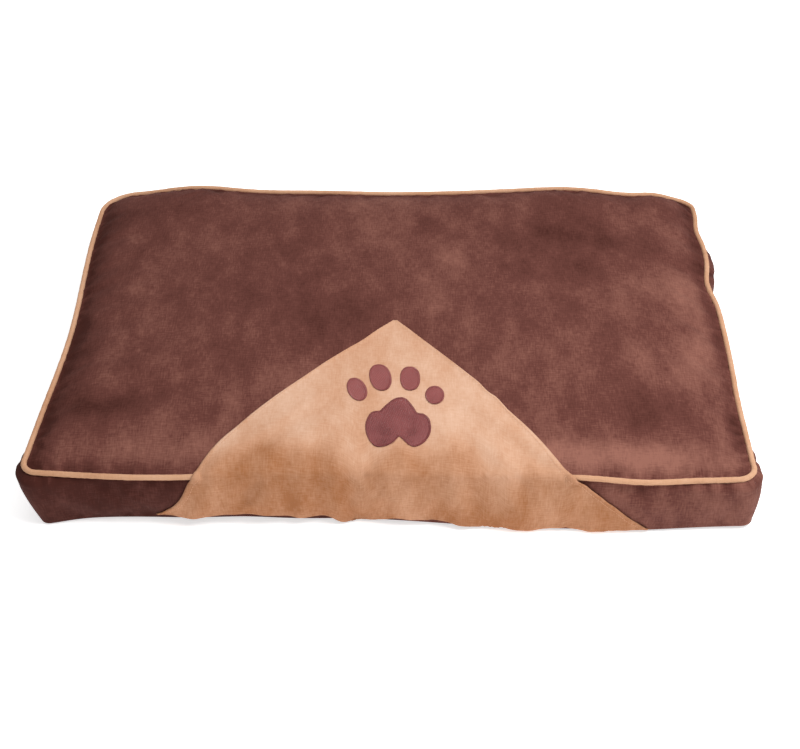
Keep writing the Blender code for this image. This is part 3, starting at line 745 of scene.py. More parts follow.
def plated(name, slot, dark, light):
    """Antiqued plated metal, darker in its hollows and scratched by use."""
    made = Finish(name, slot, Metallic=1.0)
    place = made.place()
    tarnish = made.noise(place, 220.0, 4.0, 0.65)
    scratches = made.noise(made.stretched(place, (200.0, 3000.0, 3000.0)), 1.0, 2.0, 0.6)
    shade = made.mixed(tarnish.clipped(0.35, 0.65), dark, light)
    roughness = tarnish * 0.25 + scratches * 0.2 + 0.15
    return made.finished(Base_Color=shade, Roughness=roughness, Normal=made.bump(scratches, 0.0001, 0.2))


def moulded(name, slot, dark, light):
    """Moulded nylon."""
    made = Finish(name, slot, Specular_IOR_Level=0.5)
    cloud = made.noise(made.place(), 400.0, 3.0, 0.6)
    shade = made.mixed(cloud.clipped(0.3, 0.7), dark, light)
    return made.finished(Base_Color=shade, Roughness=cloud * 0.2 + 0.3, Normal=made.bump(cloud, 0.0001, 0.2))


BROWN = suede(
    "brown suede", "brown_suede", colour(66, 32, 26), colour(97, 56, 49), colour(140, 93, 80), 0.52, True
)
TAN = suede(
    "tan suede", "tan_suede", colour(157, 103, 67), colour(193, 146, 116), colour(215, 179, 155), 0.38, True
)
TAN_PIPING = suede(
    "tan piping", "tan_piping", colour(164, 114, 82), colour(196, 150, 118), colour(216, 176, 148), 0.35
)
EMBROIDERY = threaded("embroidery", "embroidery", colour(108, 46, 46), colour(142, 74, 72))
TOE_EMBROIDERY = threaded("toe embroidery", "embroidery", colour(120, 54, 52), colour(158, 87, 84))
TAN_THREAD = threaded("tan thread", "tan_suede", colour(176, 120, 84), colour(220, 172, 136))
BROWN_THREAD = threaded("brown thread", "brown_suede", colour(66, 34, 30), colour(104, 60, 52))
BASE_CLOTH = woven("base cloth", "base_cloth", colour(62, 38, 34), colour(92, 60, 54), 900.0, 900.0)
LINER_CLOTH = woven(
    "liner cloth", "liner_cloth", colour(206, 203, 196), colour(232, 230, 224), 1400.0, 1400.0
)
FIBRE = woven(
    "polyester fibre", "polyester_fibre", colour(228, 228, 224), colour(246, 246, 242), 300.0, 260.0
)
COTTON = woven("cotton cord", "cotton_cord", colour(214, 206, 186), colour(236, 230, 214), 1800.0, 300.0)
ZIP_TAPE = woven("zip tape", "zip_tape", colour(66, 38, 34), colour(96, 58, 50), 1200.0, 700.0)
ZIP_NYLON = moulded("zip nylon", "zip_nylon", colour(74, 44, 38), colour(104, 66, 56))
ZIP_METAL = plated("zip metal", "zip_metal", (0.20, 0.15, 0.10, 1.0), (0.52, 0.43, 0.31, 1.0))


# --- What repeats: stitches and zip teeth ---

STITCH = (0.0029, 0.0006, 0.0005)  # length, width and height of a sewn stitch
STITCH_PITCH = 0.0036
STITCH_LIFT = 0.0001  # how far what is sewn on stands off its cloth


def bead_tree():
    """Geometry Nodes that lay one rounded bead at each point, along the point's own direction."""
    tree = bpy.data.node_groups.new("beads", "GeometryNodeTree")
    sockets = {
        "Places": "Geometry", "Length": "Float", "Width": "Float", "Height": "Float", "Sides": "Int",
        "Unevenness": "Float", "Seed": "Int", "Finish": "Material",
    }
    for name, kind in sockets.items():
        tree.interface.new_socket(name, in_out="INPUT", socket_type=f"NodeSocket{kind}")
    tree.interface.new_socket("Beads", in_out="OUTPUT", socket_type="NodeSocketGeometry")
    given = add_node(tree, "NodeGroupInput").outputs
    ball = add_node(
        tree, "GeometryNodeMeshUVSphere", None, {"Segments": given["Sides"], "Rings": 5, "Radius": 0.5}
    )
    size = add_node(
        tree, "ShaderNodeCombineXYZ", None, {"X": given["Height"], "Y": given["Width"], "Z": given["Length"]}
    )
    bead = add_node(
        tree, "GeometryNodeTransform", None,
        {"Geometry": ball.outputs[0], "Rotation": (0.0, math.pi / 2, 0.0), "Scale": size.outputs[0]},
    )
    turn = None
    for axis, pivot, attribute in (("X", "AUTO", "along"), ("Z", "X", "up")):
        named = add_node(
            tree, "GeometryNodeInputNamedAttribute", {"data_type": "FLOAT_VECTOR"}, {"Name": attribute}
        )
        values = {"Vector": named.outputs[0]}
        if turn:
            values["Rotation"] = turn.outputs[0]
        turn = add_node(
            tree, "FunctionNodeAlignRotationToVector", {"axis": axis, "pivot_axis": pivot}, values
        )
    least = add_node(
        tree, "ShaderNodeMath", {"operation": "SUBTRACT"}, {0: 1.0, 1: given["Unevenness"]}
    )
    scale = add_node(
        tree, "FunctionNodeRandomValue", {"data_type": "FLOAT"},
        {"Min": least.outputs[0], "Max": 1.0, "Seed": given["Seed"]},
    )
    chosen = next(output for output in scale.outputs if output.enabled)
    laid = add_node(
        tree, "GeometryNodeInstanceOnPoints", None,
        {
            "Points": given["Places"], "Instance": bead.outputs[0], "Rotation": turn.outputs[0],
            "Scale": chosen,
        },
    )
    real = add_node(tree, "GeometryNodeRealizeInstances", None, {"Geometry": laid.outputs[0]})
    smooth = add_node(tree, "GeometryNodeSetShadeSmooth", None, {"Geometry": real.outputs[0]})
    finish = add_node(
        tree, "GeometryNodeSetMaterial", None, {"Geometry": smooth.outputs[0], "Material": given["Finish"]}
    )
    out = add_node(tree, "NodeGroupOutput")
    tree.links.new(finish.outputs[0], out.inputs[0])
    return tree


BEADS = bead_tree()


def beads(name, places, along, up, size, finish, *nodes, sides=6, unevenness=0.1, seed=1):
    """A row or field of rounded beads, such as stitches or teeth, as one piece."""
    mesh = bpy.data.meshes.new(name)
    mesh.from_pydata(np.asarray(places).tolist(), [], [])
    for attribute, vectors in (("along", along), ("up", up)):
        values = np.broadcast_to(vectors, (len(places), 3)).astype(np.float32)
        mesh.attributes.new(attribute, "FLOAT_VECTOR", "POINT").data.foreach_set("vector", values.ravel())
    points = linked(name + " places", mesh)
    modifier = points.modifiers.new("beads", "NODES")
    modifier.node_group = BEADS
    given = {
        "Length": size[0], "Width": size[1], "Height": size[2], "Sides": sides,
        "Unevenness": unevenness, "Seed": seed, "Finish": finish,
    }
    for socket in BEADS.interface.items_tree:
        if socket.in_out == "INPUT" and socket.name in given:
            modifier[socket.identifier] = given[socket.name]
    evaluated = points.evaluated_get(bpy.context.evaluated_depsgraph_get())
    made = bpy.data.meshes.new_from_object(evaluated)
    made.name = name
    made.materials.clear()
    bpy.data.objects.remove(points)
    return piece(name, made, finish, *nodes)


def spaced(line, step):
    """Points at even steps along a line of points, with the direction of the line at each."""
    way = length_along(line)
    places = np.arange(step / 2, way[-1], step)
    point, ahead, behind = (
        np.stack([np.interp(places + shift, way, line[:, axis]) for axis in range(3)], axis=1)
        for shift in (0.0, step / 4, -step / 4)
    )
    return point, ahead - behind


# --- Cover ---

NAP_AND_PAINTED_LIGHT_MARKS = (  # soft patches of nap, and painted light and shade: lit front rolls, a lighter right side, a darker left side, a shaded dent and shade behind the right front roll; place, half length and half width, turn in degrees, how much lighter
    ((-0.378, -0.040), (0.030, 0.110), 0, -0.20),
    ((-0.372, 0.150), (0.024, 0.100), 0, -0.09),
    ((0.368, -0.030), (0.036, 0.170), 0, 0.10),
    ((0.325, -0.130), (0.040, 0.050), 0, 0.08),
    ((0.220, 0.145), (0.080, 0.034), -8, -0.14),
    ((0.045, 0.170), (0.022, 0.032), 0, -0.14),
    ((0.265, 0.072), (0.060, 0.028), 10, -0.10),
    ((-0.080, -0.020), (0.055, 0.040), 25, -0.10),
    ((0.060, 0.050), (0.050, 0.060), 0, 0.06),
    ((0.115, -0.030), (0.018, 0.030), 0, -0.06),
    ((-0.315, -0.185), (0.060, 0.020), 5, -0.17),
    ((-0.250, -0.160), (0.030, 0.012), 12, -0.08),
    ((0.260, -0.254), (0.150, 0.024), 0, 0.25),
    ((-0.280, -0.252), (0.110, 0.019), 0, 0.11),
    ((0.290, -0.180), (0.090, 0.050), 0, -0.10),
)
PAINTED_PUCKER_SHADE = 62.0  # how much painted shade darkens a gather, for each metre of its depth
PAINTED_SIDE_SHADE = (0.06, 0.012, 0.009)  # how much painted shade darkens the crease beside the piping along the left and right sides, how far in from them, and reach
WALL_SHADE = (-0.04, 0.14, 0.15)  # nap of the wall, how much painted light lightens its front towards the right, and reach
BASE_TURN = 0.012  # how far in from its edge the base cloth comes down to the floor


def nap_and_painted_light_of(top, depth):
    """How much lighter or darker the brown top panel is painted: its nap, painted light and shade where light
    falls on its rolls, sides and dent, and painted shade in its gathers and beside the piping.
    """
    nap_and_painted_light = 0.01 - PAINTED_PUCKER_SHADE * depth + marked(top, NAP_AND_PAINTED_LIGHT_MARKS)
    _, right, _, left = side_distances(top)
    painted_shade, place, reach = PAINTED_SIDE_SHADE
    return nap_and_painted_light - painted_shade * np.exp(-(((np.minimum(left, right) - place) / reach) ** 2))


def based(ring, columns_share, rows_share):
    """The base cloth: flat on the floor, and turned up at its edge to the plain seam."""
    grid = spanned(ring, columns_share, rows_share)
    distance = edge_distance(grid)
    grid[..., 2] *= np.exp(-((distance / BASE_TURN) ** 1.3))
    return grid


def cover_panels(top, top_depth, wall, wall_depth):
    """The brown panels."""
    cloth_piece("cover_top", top, top[..., :2], BROWN, "top_panel", nap_and_painted_light=nap_and_painted_light_of(top, top_depth))
    x, y = wall[0, :, 0], wall[0, :, 1]
    back = np.flatnonzero((y > 0) & (np.abs(x) <= ZIP_HALF + 0.001))
    corner = COLUMNS * FINE
    count = wall.shape[1]
    upper, lower = ZIP_ROW * WALL_FINE, (ZIP_ROW + 1) * WALL_FINE
    strips = {
        "cover_front": (np.arange(0, corner + 1), slice(None), "front_boxing"),
        "cover_right": (np.arange(corner, back[0] + 1), slice(None), "right_boxing"),
        "cover_left": (np.arange(back[-1], count + 1) % count, slice(None), "left_boxing"),
        "cover_back_upper": (back, slice(0, upper + 1), "back_boxing_upper"),
        "cover_back_lower": (back, slice(lower, None), "back_boxing_lower"),
    }
    shade, painted_light, reach = WALL_SHADE
    for name, (columns, rows, node) in strips.items():
        along = length_along(wall[0, columns])
        strip = wall[rows][:, columns]
        height = strip[..., 2]
        uv = np.dstack([np.broadcast_to(along, height.shape), height])
        # painted light lightens the front of the wall towards the right, and painted shade darkens its
        # gathers
        nap_and_painted_light = shade + painted_light * np.tanh(strip[..., 0] / reach) * (strip[..., 1] < 0)
        nap_and_painted_light -= PAINTED_PUCKER_SHADE * wall_depth[rows][:, columns]
        made = cloth_piece(name, strip, uv, BROWN, node, flipped=True, nap_and_painted_light=nap_and_painted_light)
        flat = (float(along[-1]), float(height.max() - height.min()))


# --- Piping ---

PIPING_ENDS = (-0.204, 0.196)  # where it goes under the overlay's left and right sides
PIPING_PROUD = 0.0010
PIPING_ROUND = 0.45 * PIPING  # its radius, a little pressed by the seam
PIPING_WALL = 0.0011
PIPING_SIDES = 14
PIPING_UNEVEN = 0.00030
CORD_ROUND = 0.0017
CORD_SIDES = 12
CORD_LAY = 0.016  # in what length its three strands turn once


def piping_line(wall):
    """Middle of the piping, from under the overlay's right side round the back to its left side."""
    ring = wall[0]
    left, right = PIPING_ENDS
    start = np.flatnonzero((ring[:, 0] > right) & (ring[:, 1] < 0))[0]
    end = np.flatnonzero((ring[:, 0] < left) & (ring[:, 1] < 0) & (np.arange(len(ring)) < start))[-1]
    order = np.arange(start, len(ring) + end + 1) % len(ring)
    line = ring[order]
    ahead = np.gradient(line, axis=0)
    outward = np.column_stack([ahead[:, 1], -ahead[:, 0], np.zeros(len(line))])
    outward /= np.linalg.norm(outward, axis=1, keepdims=True)
    return line + outward * PIPING_PROUD, outward


def round_the(line, outward, radius, sides, twist=0.0, lobes=0, lobe=0.0):
    """Rings of points round a line."""
    ahead = np.gradient(line, axis=0)
    ahead /= np.linalg.norm(ahead, axis=1, keepdims=True)
    up = np.cross(outward, ahead)
    up *= np.sign(up[:, 2:])
    way = length_along(line)[:, None]
    angle = np.arange(sides)[None] * math.tau / sides + way * twist
    reach = radius * (1 + lobe * np.cos(lobes * (angle - way * twist)))
    return line[:, None] + reach[..., None] * (
        np.cos(angle)[..., None] * outward[:, None] + np.sin(angle)[..., None] * up[:, None]
    )


def piping(wall):
    """The piping's bias cloth, slightly uneven where it was eased round the corners, and its cord."""
    line, outward = piping_line(wall)
    fine_line, fine_outward = finer(line, 2, 0), finer(outward, 2, 0)
    tube = round_the(fine_line, fine_outward, PIPING_ROUND, PIPING_SIDES)
    rng = np.random.default_rng(5)
    uneven = blurred(rng.normal(0.0, 1.0, (*tube.shape[:2], 1)), 4) * PIPING_UNEVEN
    middle = tube.mean(axis=1, keepdims=True)
    tube = middle + (tube - middle) * (1 + uneven / PIPING_ROUND)
    way = length_along(fine_line)
    angle = np.arange(PIPING_SIDES) / PIPING_SIDES * math.pi * PIPING
    uv = np.dstack(np.broadcast_arrays(angle[None], way[:, None]))
    made = cloth_piece(
        "piping_bias", tube, uv, TAN_PIPING, "piping_cover", closed=True, thickness=PIPING_WALL, flipped=True
    )
    cord_line, cord_outward = line[1:-1], outward[1:-1]
    strands = round_the(
        cord_line, cord_outward, CORD_ROUND, CORD_SIDES, twist=math.tau / CORD_LAY, lobes=3, lobe=0.10
    )
    way = length_along(cord_line)
    uv = np.dstack(np.broadcast_arrays(np.arange(CORD_SIDES)[None] * 0.001, way[:, None]))
    piece("piping_strands", loops_mesh("piping_strands", strands, uv), COTTON, "piping_cord")
    return tube


# --- Overlay ---

OVERLAY_LIFT = 0.0004
TURN_AXIS = (-0.232, 0.048)  # Y and Z of a line inside the front roll
TURN_END = -52.0  # degrees, how far down the fan of feelers round that line reaches
APEX = (0.003, -0.045)
OVERLAY_LENGTH = 0.3075  # over the roll, from the apex to the hem
HEM_HEIGHT = 0.0045
LEFT_SIDE = (1.0, 0.35, 0.0205, 0.285, 0.045)  # spread, easing, and the depth, place and reach of its hollow
RIGHT_SIDE = (0.85, -0.42, 0.0105, 0.218, 0.040)
FLARE = (0.012, 0.285, 0.030)  # how far the right side spreads at the hem, from where and over what length
SKIN_SIDES = (-0.315, 0.325)  # X of the sides of the grid that the overlay is laid on
SKIN_REACH = (-0.010, 0.330)  # its distances from the apex, first and last
SKIN_CELLS = (256, 139)  # its cells across and down
PAST_CROWN = 40  # the row of that grid past which the hem is looked for
OVERLAY_ROWS, OVERLAY_COLUMNS = 130, 190
FEELER = 0.3  # how far outside the cushion each feeler starts
FEELER_STEPS = (-0.0025, -1.5)  # from one feeler to the next, in metres on the top and degrees on the roll
APEX_HALF = 0.003  # half its width at the apex
ROLL_START = 0.214  # how far below the apex its nap turns over, where the painted shade down its front begins
ROLL_NAP_AND_PAINTED_SHADE = (0.06, 0.20)  # its nap above the roll, and how much darker painted shade makes it below
TURNED_EDGE = 0.0008  # how much the turned edges stand up
TURNED_WIDTH = 0.006
HEM_WAVES = (  # place, how much higher, reach
    (-0.300, 0.0100, 0.130),
    (-0.150, 0.0080, 0.060),
    (-0.074, 0.0030, 0.010),
    (-0.032, -0.0060, 0.026),
    (-0.035, 0.0048, 0.100),
    (0.010, 0.0050, 0.014),
    (0.055, 0.0040, 0.028),
    (0.240, -0.0020, 0.120),
)
OVERLAY_FOLDS = (  # place at the hem, height, reach, lean, how far above the hem it fades
    (-0.215, 0.0044, 0.016, 0.35, 0.10),
    (-0.140, 0.0034, 0.020, 0.20, 0.09),
    (-0.098, 0.0038, 0.012, 0.05, 0.07),
    (-0.052, 0.0046, 0.013, -0.08, 0.08),
    (0.010, 0.0030, 0.020, 0.00, 0.09),
    (0.082, 0.0042, 0.015, -0.15, 0.10),
    (0.155, 0.0036, 0.020, -0.30, 0.12),
    (0.235, 0.0036, 0.018, -0.45, 0.10),
)


def tree_of(*meshes):
    """A tree that rays can be cast at, of several (points, faces)."""
    points, faces, first = [], [], 0
    for some_points, some_faces in meshes:
        points.append(some_points.reshape(-1, 3))
        faces.append(some_faces + first)
        first += len(points[-1])
    return BVHTree.FromPolygons(np.concatenate(points).tolist(), np.concatenate(faces).tolist())


def front_skin(top, wall, tube):
    """A grid over the top and front of the cushion, by X and by distance from the overlay's apex."""
    tree = tree_of(
        (top, quads(*top.shape[:2])),
        (wall, quads(*wall.shape[:2], closed=True)),
        (tube, quads(*tube.shape[:2], closed=True)),
    )
    xs = np.linspace(*SKIN_SIDES, SKIN_CELLS[0] + 1)
    distances = np.linspace(*SKIN_REACH, SKIN_CELLS[1] + 1)
    grid = np.zeros((len(distances), len(xs), 3))
    axis_y, axis_z = TURN_AXIS
    step, turn = FEELER_STEPS
    for column, x in enumerate(xs):
        feelers = [((x, y, FEELER), (0.0, 0.0, -1.0)) for y in np.arange(APEX[1] + 0.012, axis_y, step)]
        for degrees in np.arange(90.0, TURN_END, turn):
            cos, sin = math.cos(math.radians(degrees)), math.sin(math.radians(degrees))
            feelers.append(((x, axis_y - FEELER * cos, axis_z + FEELER * sin), (0.0, cos, -sin)))
        hits = [tree.ray_cast(Vector(start), Vector(way))[0] for start, way in feelers]
        line = np.array([hit for hit in hits if hit is not None])
        way = length_along(line)
        way -= np.interp(-APEX[1], -line[:, 1], way)
        for axis in range(3):
            grid[:, column, axis] = np.interp(distances, way, line[:, axis])
    eased = blurred(grid, 8)
    outward = outward_of(eased)
    proud = ((grid - eased) * outward).sum(axis=-1, keepdims=True)
    eased = eased + outward * blurred(np.maximum(proud, 0.0), 2) * 1.3
    return xs, distances, eased


def looked_up(grid, xs, distances, x, distance):
    """Points of a skin at any X and distance."""
    column = np.clip((x - xs[0]) / (xs[1] - xs[0]), 0, len(xs) - 1.001)
    row = np.clip((distance - distances[0]) / (distances[1] - distances[0]), 0, len(distances) - 1.001)
    c, r = column.astype(int), row.astype(int)
    u, v = (column - c)[..., None], (row - r)[..., None]
    near = grid[r, c] * (1 - u) + grid[r, c + 1] * u
    far = grid[r + 1, c] * (1 - u) + grid[r + 1, c + 1] * u
    return near * (1 - v) + far * v


def side_spread(way, spread, easing, depth, place, reach):
    """How far one side of the overlay has spread from its apex, with a hollow below the roll."""
    return APEX_HALF + spread * way * (1 - easing * way) - depth * np.exp(-(((way - place) / reach) ** 2))


def overlay_grid(top, wall, tube):
    """Points of the overlay's outer face, apex to hem and left to right, and its cloth coordinates."""
    xs, distances, skin = front_skin(top, wall, tube)
    hem = HEM_HEIGHT + sum(rise * np.exp(-(((xs - place) / reach) ** 2)) for place, rise, reach in HEM_WAVES)
    lowest = np.maximum.accumulate(-skin[PAST_CROWN:, :, 2], axis=0)
    hem_distance = np.array([
        np.interp(-hem[i], lowest[:, i], distances[PAST_CROWN:]) for i in range(len(xs))
    ])
    share = np.linspace(0.0, 1.0, OVERLAY_ROWS + 1)[:, None]
    way = share * OVERLAY_LENGTH
    flare, flare_start, flare_length = FLARE
    flared = flare * np.clip((way - flare_start) / flare_length, 0.0, 1.3) ** 2
    left = APEX[0] - side_spread(way, *LEFT_SIDE)
    right = APEX[0] + side_spread(way, *RIGHT_SIDE) + flared
    across = np.linspace(0.0, 1.0, OVERLAY_COLUMNS + 1)[None]
    x = left + (right - left) * across
    distance = share * np.interp(x, xs, blurred(hem_distance[None, :, None], 12)[0, :, 0])
    grid = looked_up(skin, xs, distances, x, distance)
    outward = outward_of(grid)
    lift = np.full(x.shape, OVERLAY_LIFT + CLOTH)
    up = OVERLAY_LENGTH - way
    for place, height, reach, lean, fade in OVERLAY_FOLDS:
        lift += height * np.exp(-(((x - place - lean * up) / reach) ** 2)) * np.exp(-((up / fade) ** 2))
    edge = np.minimum(x - left, right - x)
    lift += TURNED_EDGE * np.exp(-((edge / TURNED_WIDTH) ** 4)) * np.clip(edge / TURNED_EDGE, 0.0, 1.0)
    return grid + outward * lift[..., None], np.dstack([x, -way + 0 * x])


def overlay(grid, uv):
    """The tan overlay, with painted shade darkening it down its front, and the stitching beside its turned
    edges.
    """
    roll = -uv[..., 1] + 0.006 * np.sin(uv[..., 0] * 34) + 0.004 * np.sin(uv[..., 0] * 83 + 1)
    above, painted_shade = ROLL_NAP_AND_PAINTED_SHADE
    nap_and_painted_light = above - painted_shade / (1 + np.exp(-(roll - ROLL_START) / 0.007))
    cloth_piece("overlay_cloth", grid, uv, TAN, "front_overlay", flipped=True, nap_and_painted_light=nap_and_painted_light)
    outward = outward_of(grid)
    for name, column in (("overlay_stitches_left", 3), ("overlay_stitches_right", -4)):
        place, along = spaced(grid[4:-3, column], STITCH_PITCH)
        up = outward[4:-3, column].mean(axis=0)
        beads(name, place + up * STITCH_LIFT, along, up, STITCH, TAN_THREAD, seed=3)


# --- Embroidered paw ---

PATCH = 0.0010  # thickness of the embroidery
PATCH_RINGS = (  # share of the outline's size, and share of the ground's height
    (0.5, 0.0), (1.0, 0.0), (1.0, 0.6), (0.975, 0.9), (0.94, 1.0), (0.7, 1.0), (0.35, 1.0)
)
GROUND_HEIGHT, EDGING_HEIGHT, FILLING_HEIGHT = 0.6, 0.75, 0.66  # shares of that thickness
EDGING_SHARE = 0.97  # how much of the outline's size the edging stitches follow
FILLED_SHARE = 0.93  # how much of it the filling stitches cover
SATIN = (0.0034, 0.00085, 0.0009)  # length, width and height of an edging stitch
SATIN_PITCH = 0.00075
FILLING = (0.0036, 0.0009, 0.0006)  # the same for a filling stitch
FILLING_PITCH = 0.0034
FILLING_ROW = 0.0008  # from one row of filling to the next
PAW_PAD = (  # outline of the main pad about its middle, clockwise from its top
    (0.0024, 0.0340), (0.0085, 0.0307), (0.0147, 0.0212), (0.0190, 0.0125), (0.0225, 0.0100),
    (0.0280, 0.0090), (0.0335, 0.0030), (0.0359, -0.0082), (0.0345, -0.0184), (0.0283, -0.0281),
    (0.0190, -0.0332), (0.0110, -0.0308), (0.0045, -0.0240), (0.0010, -0.0212), (-0.0030, -0.0262),
    (-0.0080, -0.0316), (-0.0161, -0.0342), (-0.0254, -0.0325), (-0.0326, -0.0235), (-0.0357, -0.0133),
    (-0.0357, -0.0031), (-0.0316, 0.0084), (-0.0264, 0.0118), (-0.0205, 0.0128), (-0.0162, 0.0187),
    (-0.0110, 0.0250), (-0.0048, 0.0314),
)
TOES = {  # middle from the pad's middle, half width and half height, lean in degrees, squareness
    "paw_toe_1": ((-0.0475, 0.0462), (0.0098, 0.0186), 17, 2.0),
    "paw_toe_2": ((-0.0217, 0.0660), (0.0114, 0.0216), 9, 2.2),
    "paw_toe_3": ((0.0120, 0.0650), (0.0103, 0.0194), 2, 2.3),
    "paw_toe_4": ((0.0400, 0.0386), (0.0097, 0.0138), 0, 2.0),
}
PAW_LOW, PAW_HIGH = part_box("paw_pad")
PAW_MIDDLE = ((PAW_LOW.x + PAW_HIGH.x) / 2, -0.2137)


def toe_outline(half_width, half_height, lean, squareness):
    """Outline of one toe, leaning to the left."""
    angle = np.arange(72) * math.tau / 72
    cos, sin = np.cos(angle), np.sin(angle)
    across = half_width * np.sign(cos) * np.abs(cos) ** (2 / squareness)
    along = half_height * np.sign(sin) * np.abs(sin) ** (2 / squareness)
    turn = math.radians(lean)
    return np.column_stack([
        across * math.cos(turn) - along * math.sin(turn), across * math.sin(turn) + along * math.cos(turn)
    ])


def inside(points, shape):
    """Which points lie inside a closed outline."""
    found = np.zeros(len(points), bool)
    for a, b in zip(shape, np.roll(shape, -1, axis=0)):
        level = (a[1] > points[:, 1]) != (b[1] > points[:, 1])
        rise = b[1] - a[1] if b[1] != a[1] else 1e-12
        found ^= level & (points[:, 0] < a[0] + (points[:, 1] - a[1]) * (b[0] - a[0]) / rise)
    return found


def laid_on(tree, plan):
    """Points of the surface under plan places, and its normals there."""
    hits = [tree.ray_cast(Vector((x, y, FEELER)), Vector((0.0, 0.0, -1.0)))[:2] for x, y in plan]
    return np.array([hit[0] for hit in hits]), np.array([hit[1] for hit in hits])


def patch(name, tree, middle, shape, slant, seed, thread=EMBROIDERY):
    """One embroidered patch: a low padded ground, filled with stitches and edged with satin stitch."""
    middle = np.array(middle)
    rings = []
    for share, lift in PATCH_RINGS:
        place, normal = laid_on(tree, middle + shape * share)
        rings.append(place + normal * (STITCH_LIFT + PATCH * GROUND_HEIGHT * lift))
    piece(name + "_ground", loops_mesh(name + "_ground", rings[::-1]), thread, name)

    closed = np.column_stack([np.vstack([shape, shape[:1]]) * EDGING_SHARE, np.zeros(len(shape) + 1)])
    place, along = spaced(closed, SATIN_PITCH)
    across = np.column_stack([along[:, 1], -along[:, 0], 0 * along[:, 0]])
    point, normal = laid_on(tree, middle + place[:, :2])
    beads(
        name + "_edge", point + normal * (PATCH * EDGING_HEIGHT), across, normal, SATIN, thread,
        unevenness=0.15, seed=seed,
    )

    size = float(np.ptp(shape, axis=0).max())
    rows, columns = np.meshgrid(
        np.arange(-size, size, FILLING_ROW), np.arange(-size, size, FILLING_PITCH), indexing="ij"
    )
    columns = columns + (np.arange(len(rows)) % 4)[:, None] * FILLING_PITCH / 4
    cos, sin = math.cos(slant), math.sin(slant)
    field = np.column_stack([(columns * cos - rows * sin).ravel(), (columns * sin + rows * cos).ravel()])
    field = field[inside(field, shape * FILLED_SHARE)]
    point, normal = laid_on(tree, middle + field)
    beads(
        name + "_fill", point + normal * (PATCH * FILLING_HEIGHT), (cos, sin, 0.0), normal, FILLING, thread,
        unevenness=0.12, seed=seed + 1,
    )


def paw(grid):
    """The paw: one main pad and four toes."""
    tree = tree_of((grid, quads(*grid.shape[:2])[:, ::-1]))
    patch("paw_pad", tree, PAW_MIDDLE, finer(np.array(PAW_PAD)[::-1], 4, 0, closed=True), 0.5, 30)
    for number, (name, (place, size, lean, squareness)) in enumerate(TOES.items()):
        middle = (PAW_MIDDLE[0] + place[0], PAW_MIDDLE[1] + place[1])
        slant = math.radians(lean) + 0.15
        patch(
            name, tree, middle, toe_outline(*size, lean, squareness), slant, 40 + 2 * number, TOE_EMBROIDERY
        )


# --- Inner pad ---

CASING_INSET = 0.0050
FIBRE_INSET = 0.0060
PAD_LOWEST = 0.0020  # height of the underside of the casing
PAD_BACK = 0.0012  # how far in front of the piped seam the back of the casing stays


def shell_of(top, wall, base):
    """Points and faces of the whole closed cover, top first, then wall, then base."""
    ring = ring_in_grid()
    count = top.shape[0] * top.shape[1]
    middle = wall[1:-1].reshape(-1, 3)
    points = np.concatenate([top.reshape(-1, 3), middle, base.reshape(-1, 3)])
    below = count + np.arange(len(middle)).reshape(WALL_ROWS - 1, -1)
    rows = np.vstack([ring[None], below, count + len(middle) + ring[None]])
    under = quads(*base.shape[:2], first=count + len(middle))[:, ::-1]
    return points, quads(*top.shape[:2]), ring_faces(rows), under


def drawn_in(points, faces, distance):
    """A closed shell smoothed and moved inwards."""
    for _ in range(6):
        total, times = np.zeros_like(points), np.zeros(len(points))
        for a, b in ((0, 1), (1, 2), (2, 3), (3, 0)):
            np.add.at(total, faces[:, a], points[faces[:, b]])
            np.add.at(total, faces[:, b], points[faces[:, a]])
            np.add.at(times, faces[:, a], 1)
            np.add.at(times, faces[:, b], 1)
        points = points * 0.5 + total / times[:, None] * 0.5
    normal = np.zeros_like(points)
    a, b, c, d = (points[faces[:, corner]] for corner in range(4))
    face_normal = np.cross(c - a, d - b)
    for corner in range(4):
        np.add.at(normal, faces[:, corner], face_normal)
    normal /= np.linalg.norm(normal, axis=1, keepdims=True)
    points = points - normal * distance
    deeper = distance - CASING_INSET
    points[:, 2] = np.maximum(points[:, 2], PAD_LOWEST + deeper)
    points[:, 1] = np.minimum(points[:, 1], HALF_DEPTH - PAD_BACK - deeper)
    return points


def inner_pad(top, wall, base):
    """The stuffed pad inside: its casing in two halves, and its filling."""
    points, over, sides, under = shell_of(dented(top), wall, base)
    faces = np.concatenate([over, sides.reshape(-1, 4), under])
    halves = {
        "pad_casing_top": (np.concatenate([over, sides[:ZIP_ROW].reshape(-1, 4)]), "pad_liner_top"),
        "pad_casing_bottom": (np.concatenate([sides[ZIP_ROW:].reshape(-1, 4), under]), "pad_liner_bottom"),
    }
    casing = drawn_in(points, faces, CASING_INSET)
    for name, (chosen, node) in halves.items():
        used, renumbered = np.unique(chosen, return_inverse=True)
        mesh = mesh_of(name, casing[used], renumbered.reshape(chosen.shape), casing[used][:, :2])
        made = piece(name, mesh, LINER_CLOTH, node)
        thickened(made, LINER)
    mesh = mesh_of("pad_fibre", drawn_in(points, faces, FIBRE_INSET), faces, points[:, :2])
    piece("pad_fibre", mesh, FIBRE, "pad_fill")


# --- Zip ---

TOOTH_PITCH = 0.0014
TOOTH_WIDTH = 0.00125
TAPE = 0.0006
TAPE_SHARES = (0.0, 0.04, 0.09, 0.14, 0.25, 0.50, 0.75, 1.0)  # rows of its cloth, closer by its corded edge
CHAIN_STITCH = (0.0019, 0.0005, 0.0004)
CHAIN_STITCH_PITCH = 0.0024
CHAIN_STITCH_GAP = 0.0009  # how far outside the teeth they are sewn
CHAIN_STITCH_SINK = 0.0002  # how far they lie in the tape
TAPE_INSET = 0.00015  # how far its face lies inside its place
TAPE_WAVE = 0.00012  # height of its waves
TAPE_CORD = (0.00015, 0.09, 0.05)  # height of its corded edge, and the place and reach as shares of its width
METAL_ROUNDING = 0.00025
TOOTH_REACH = 0.0002  # how near the teeth come to the middle of the zip


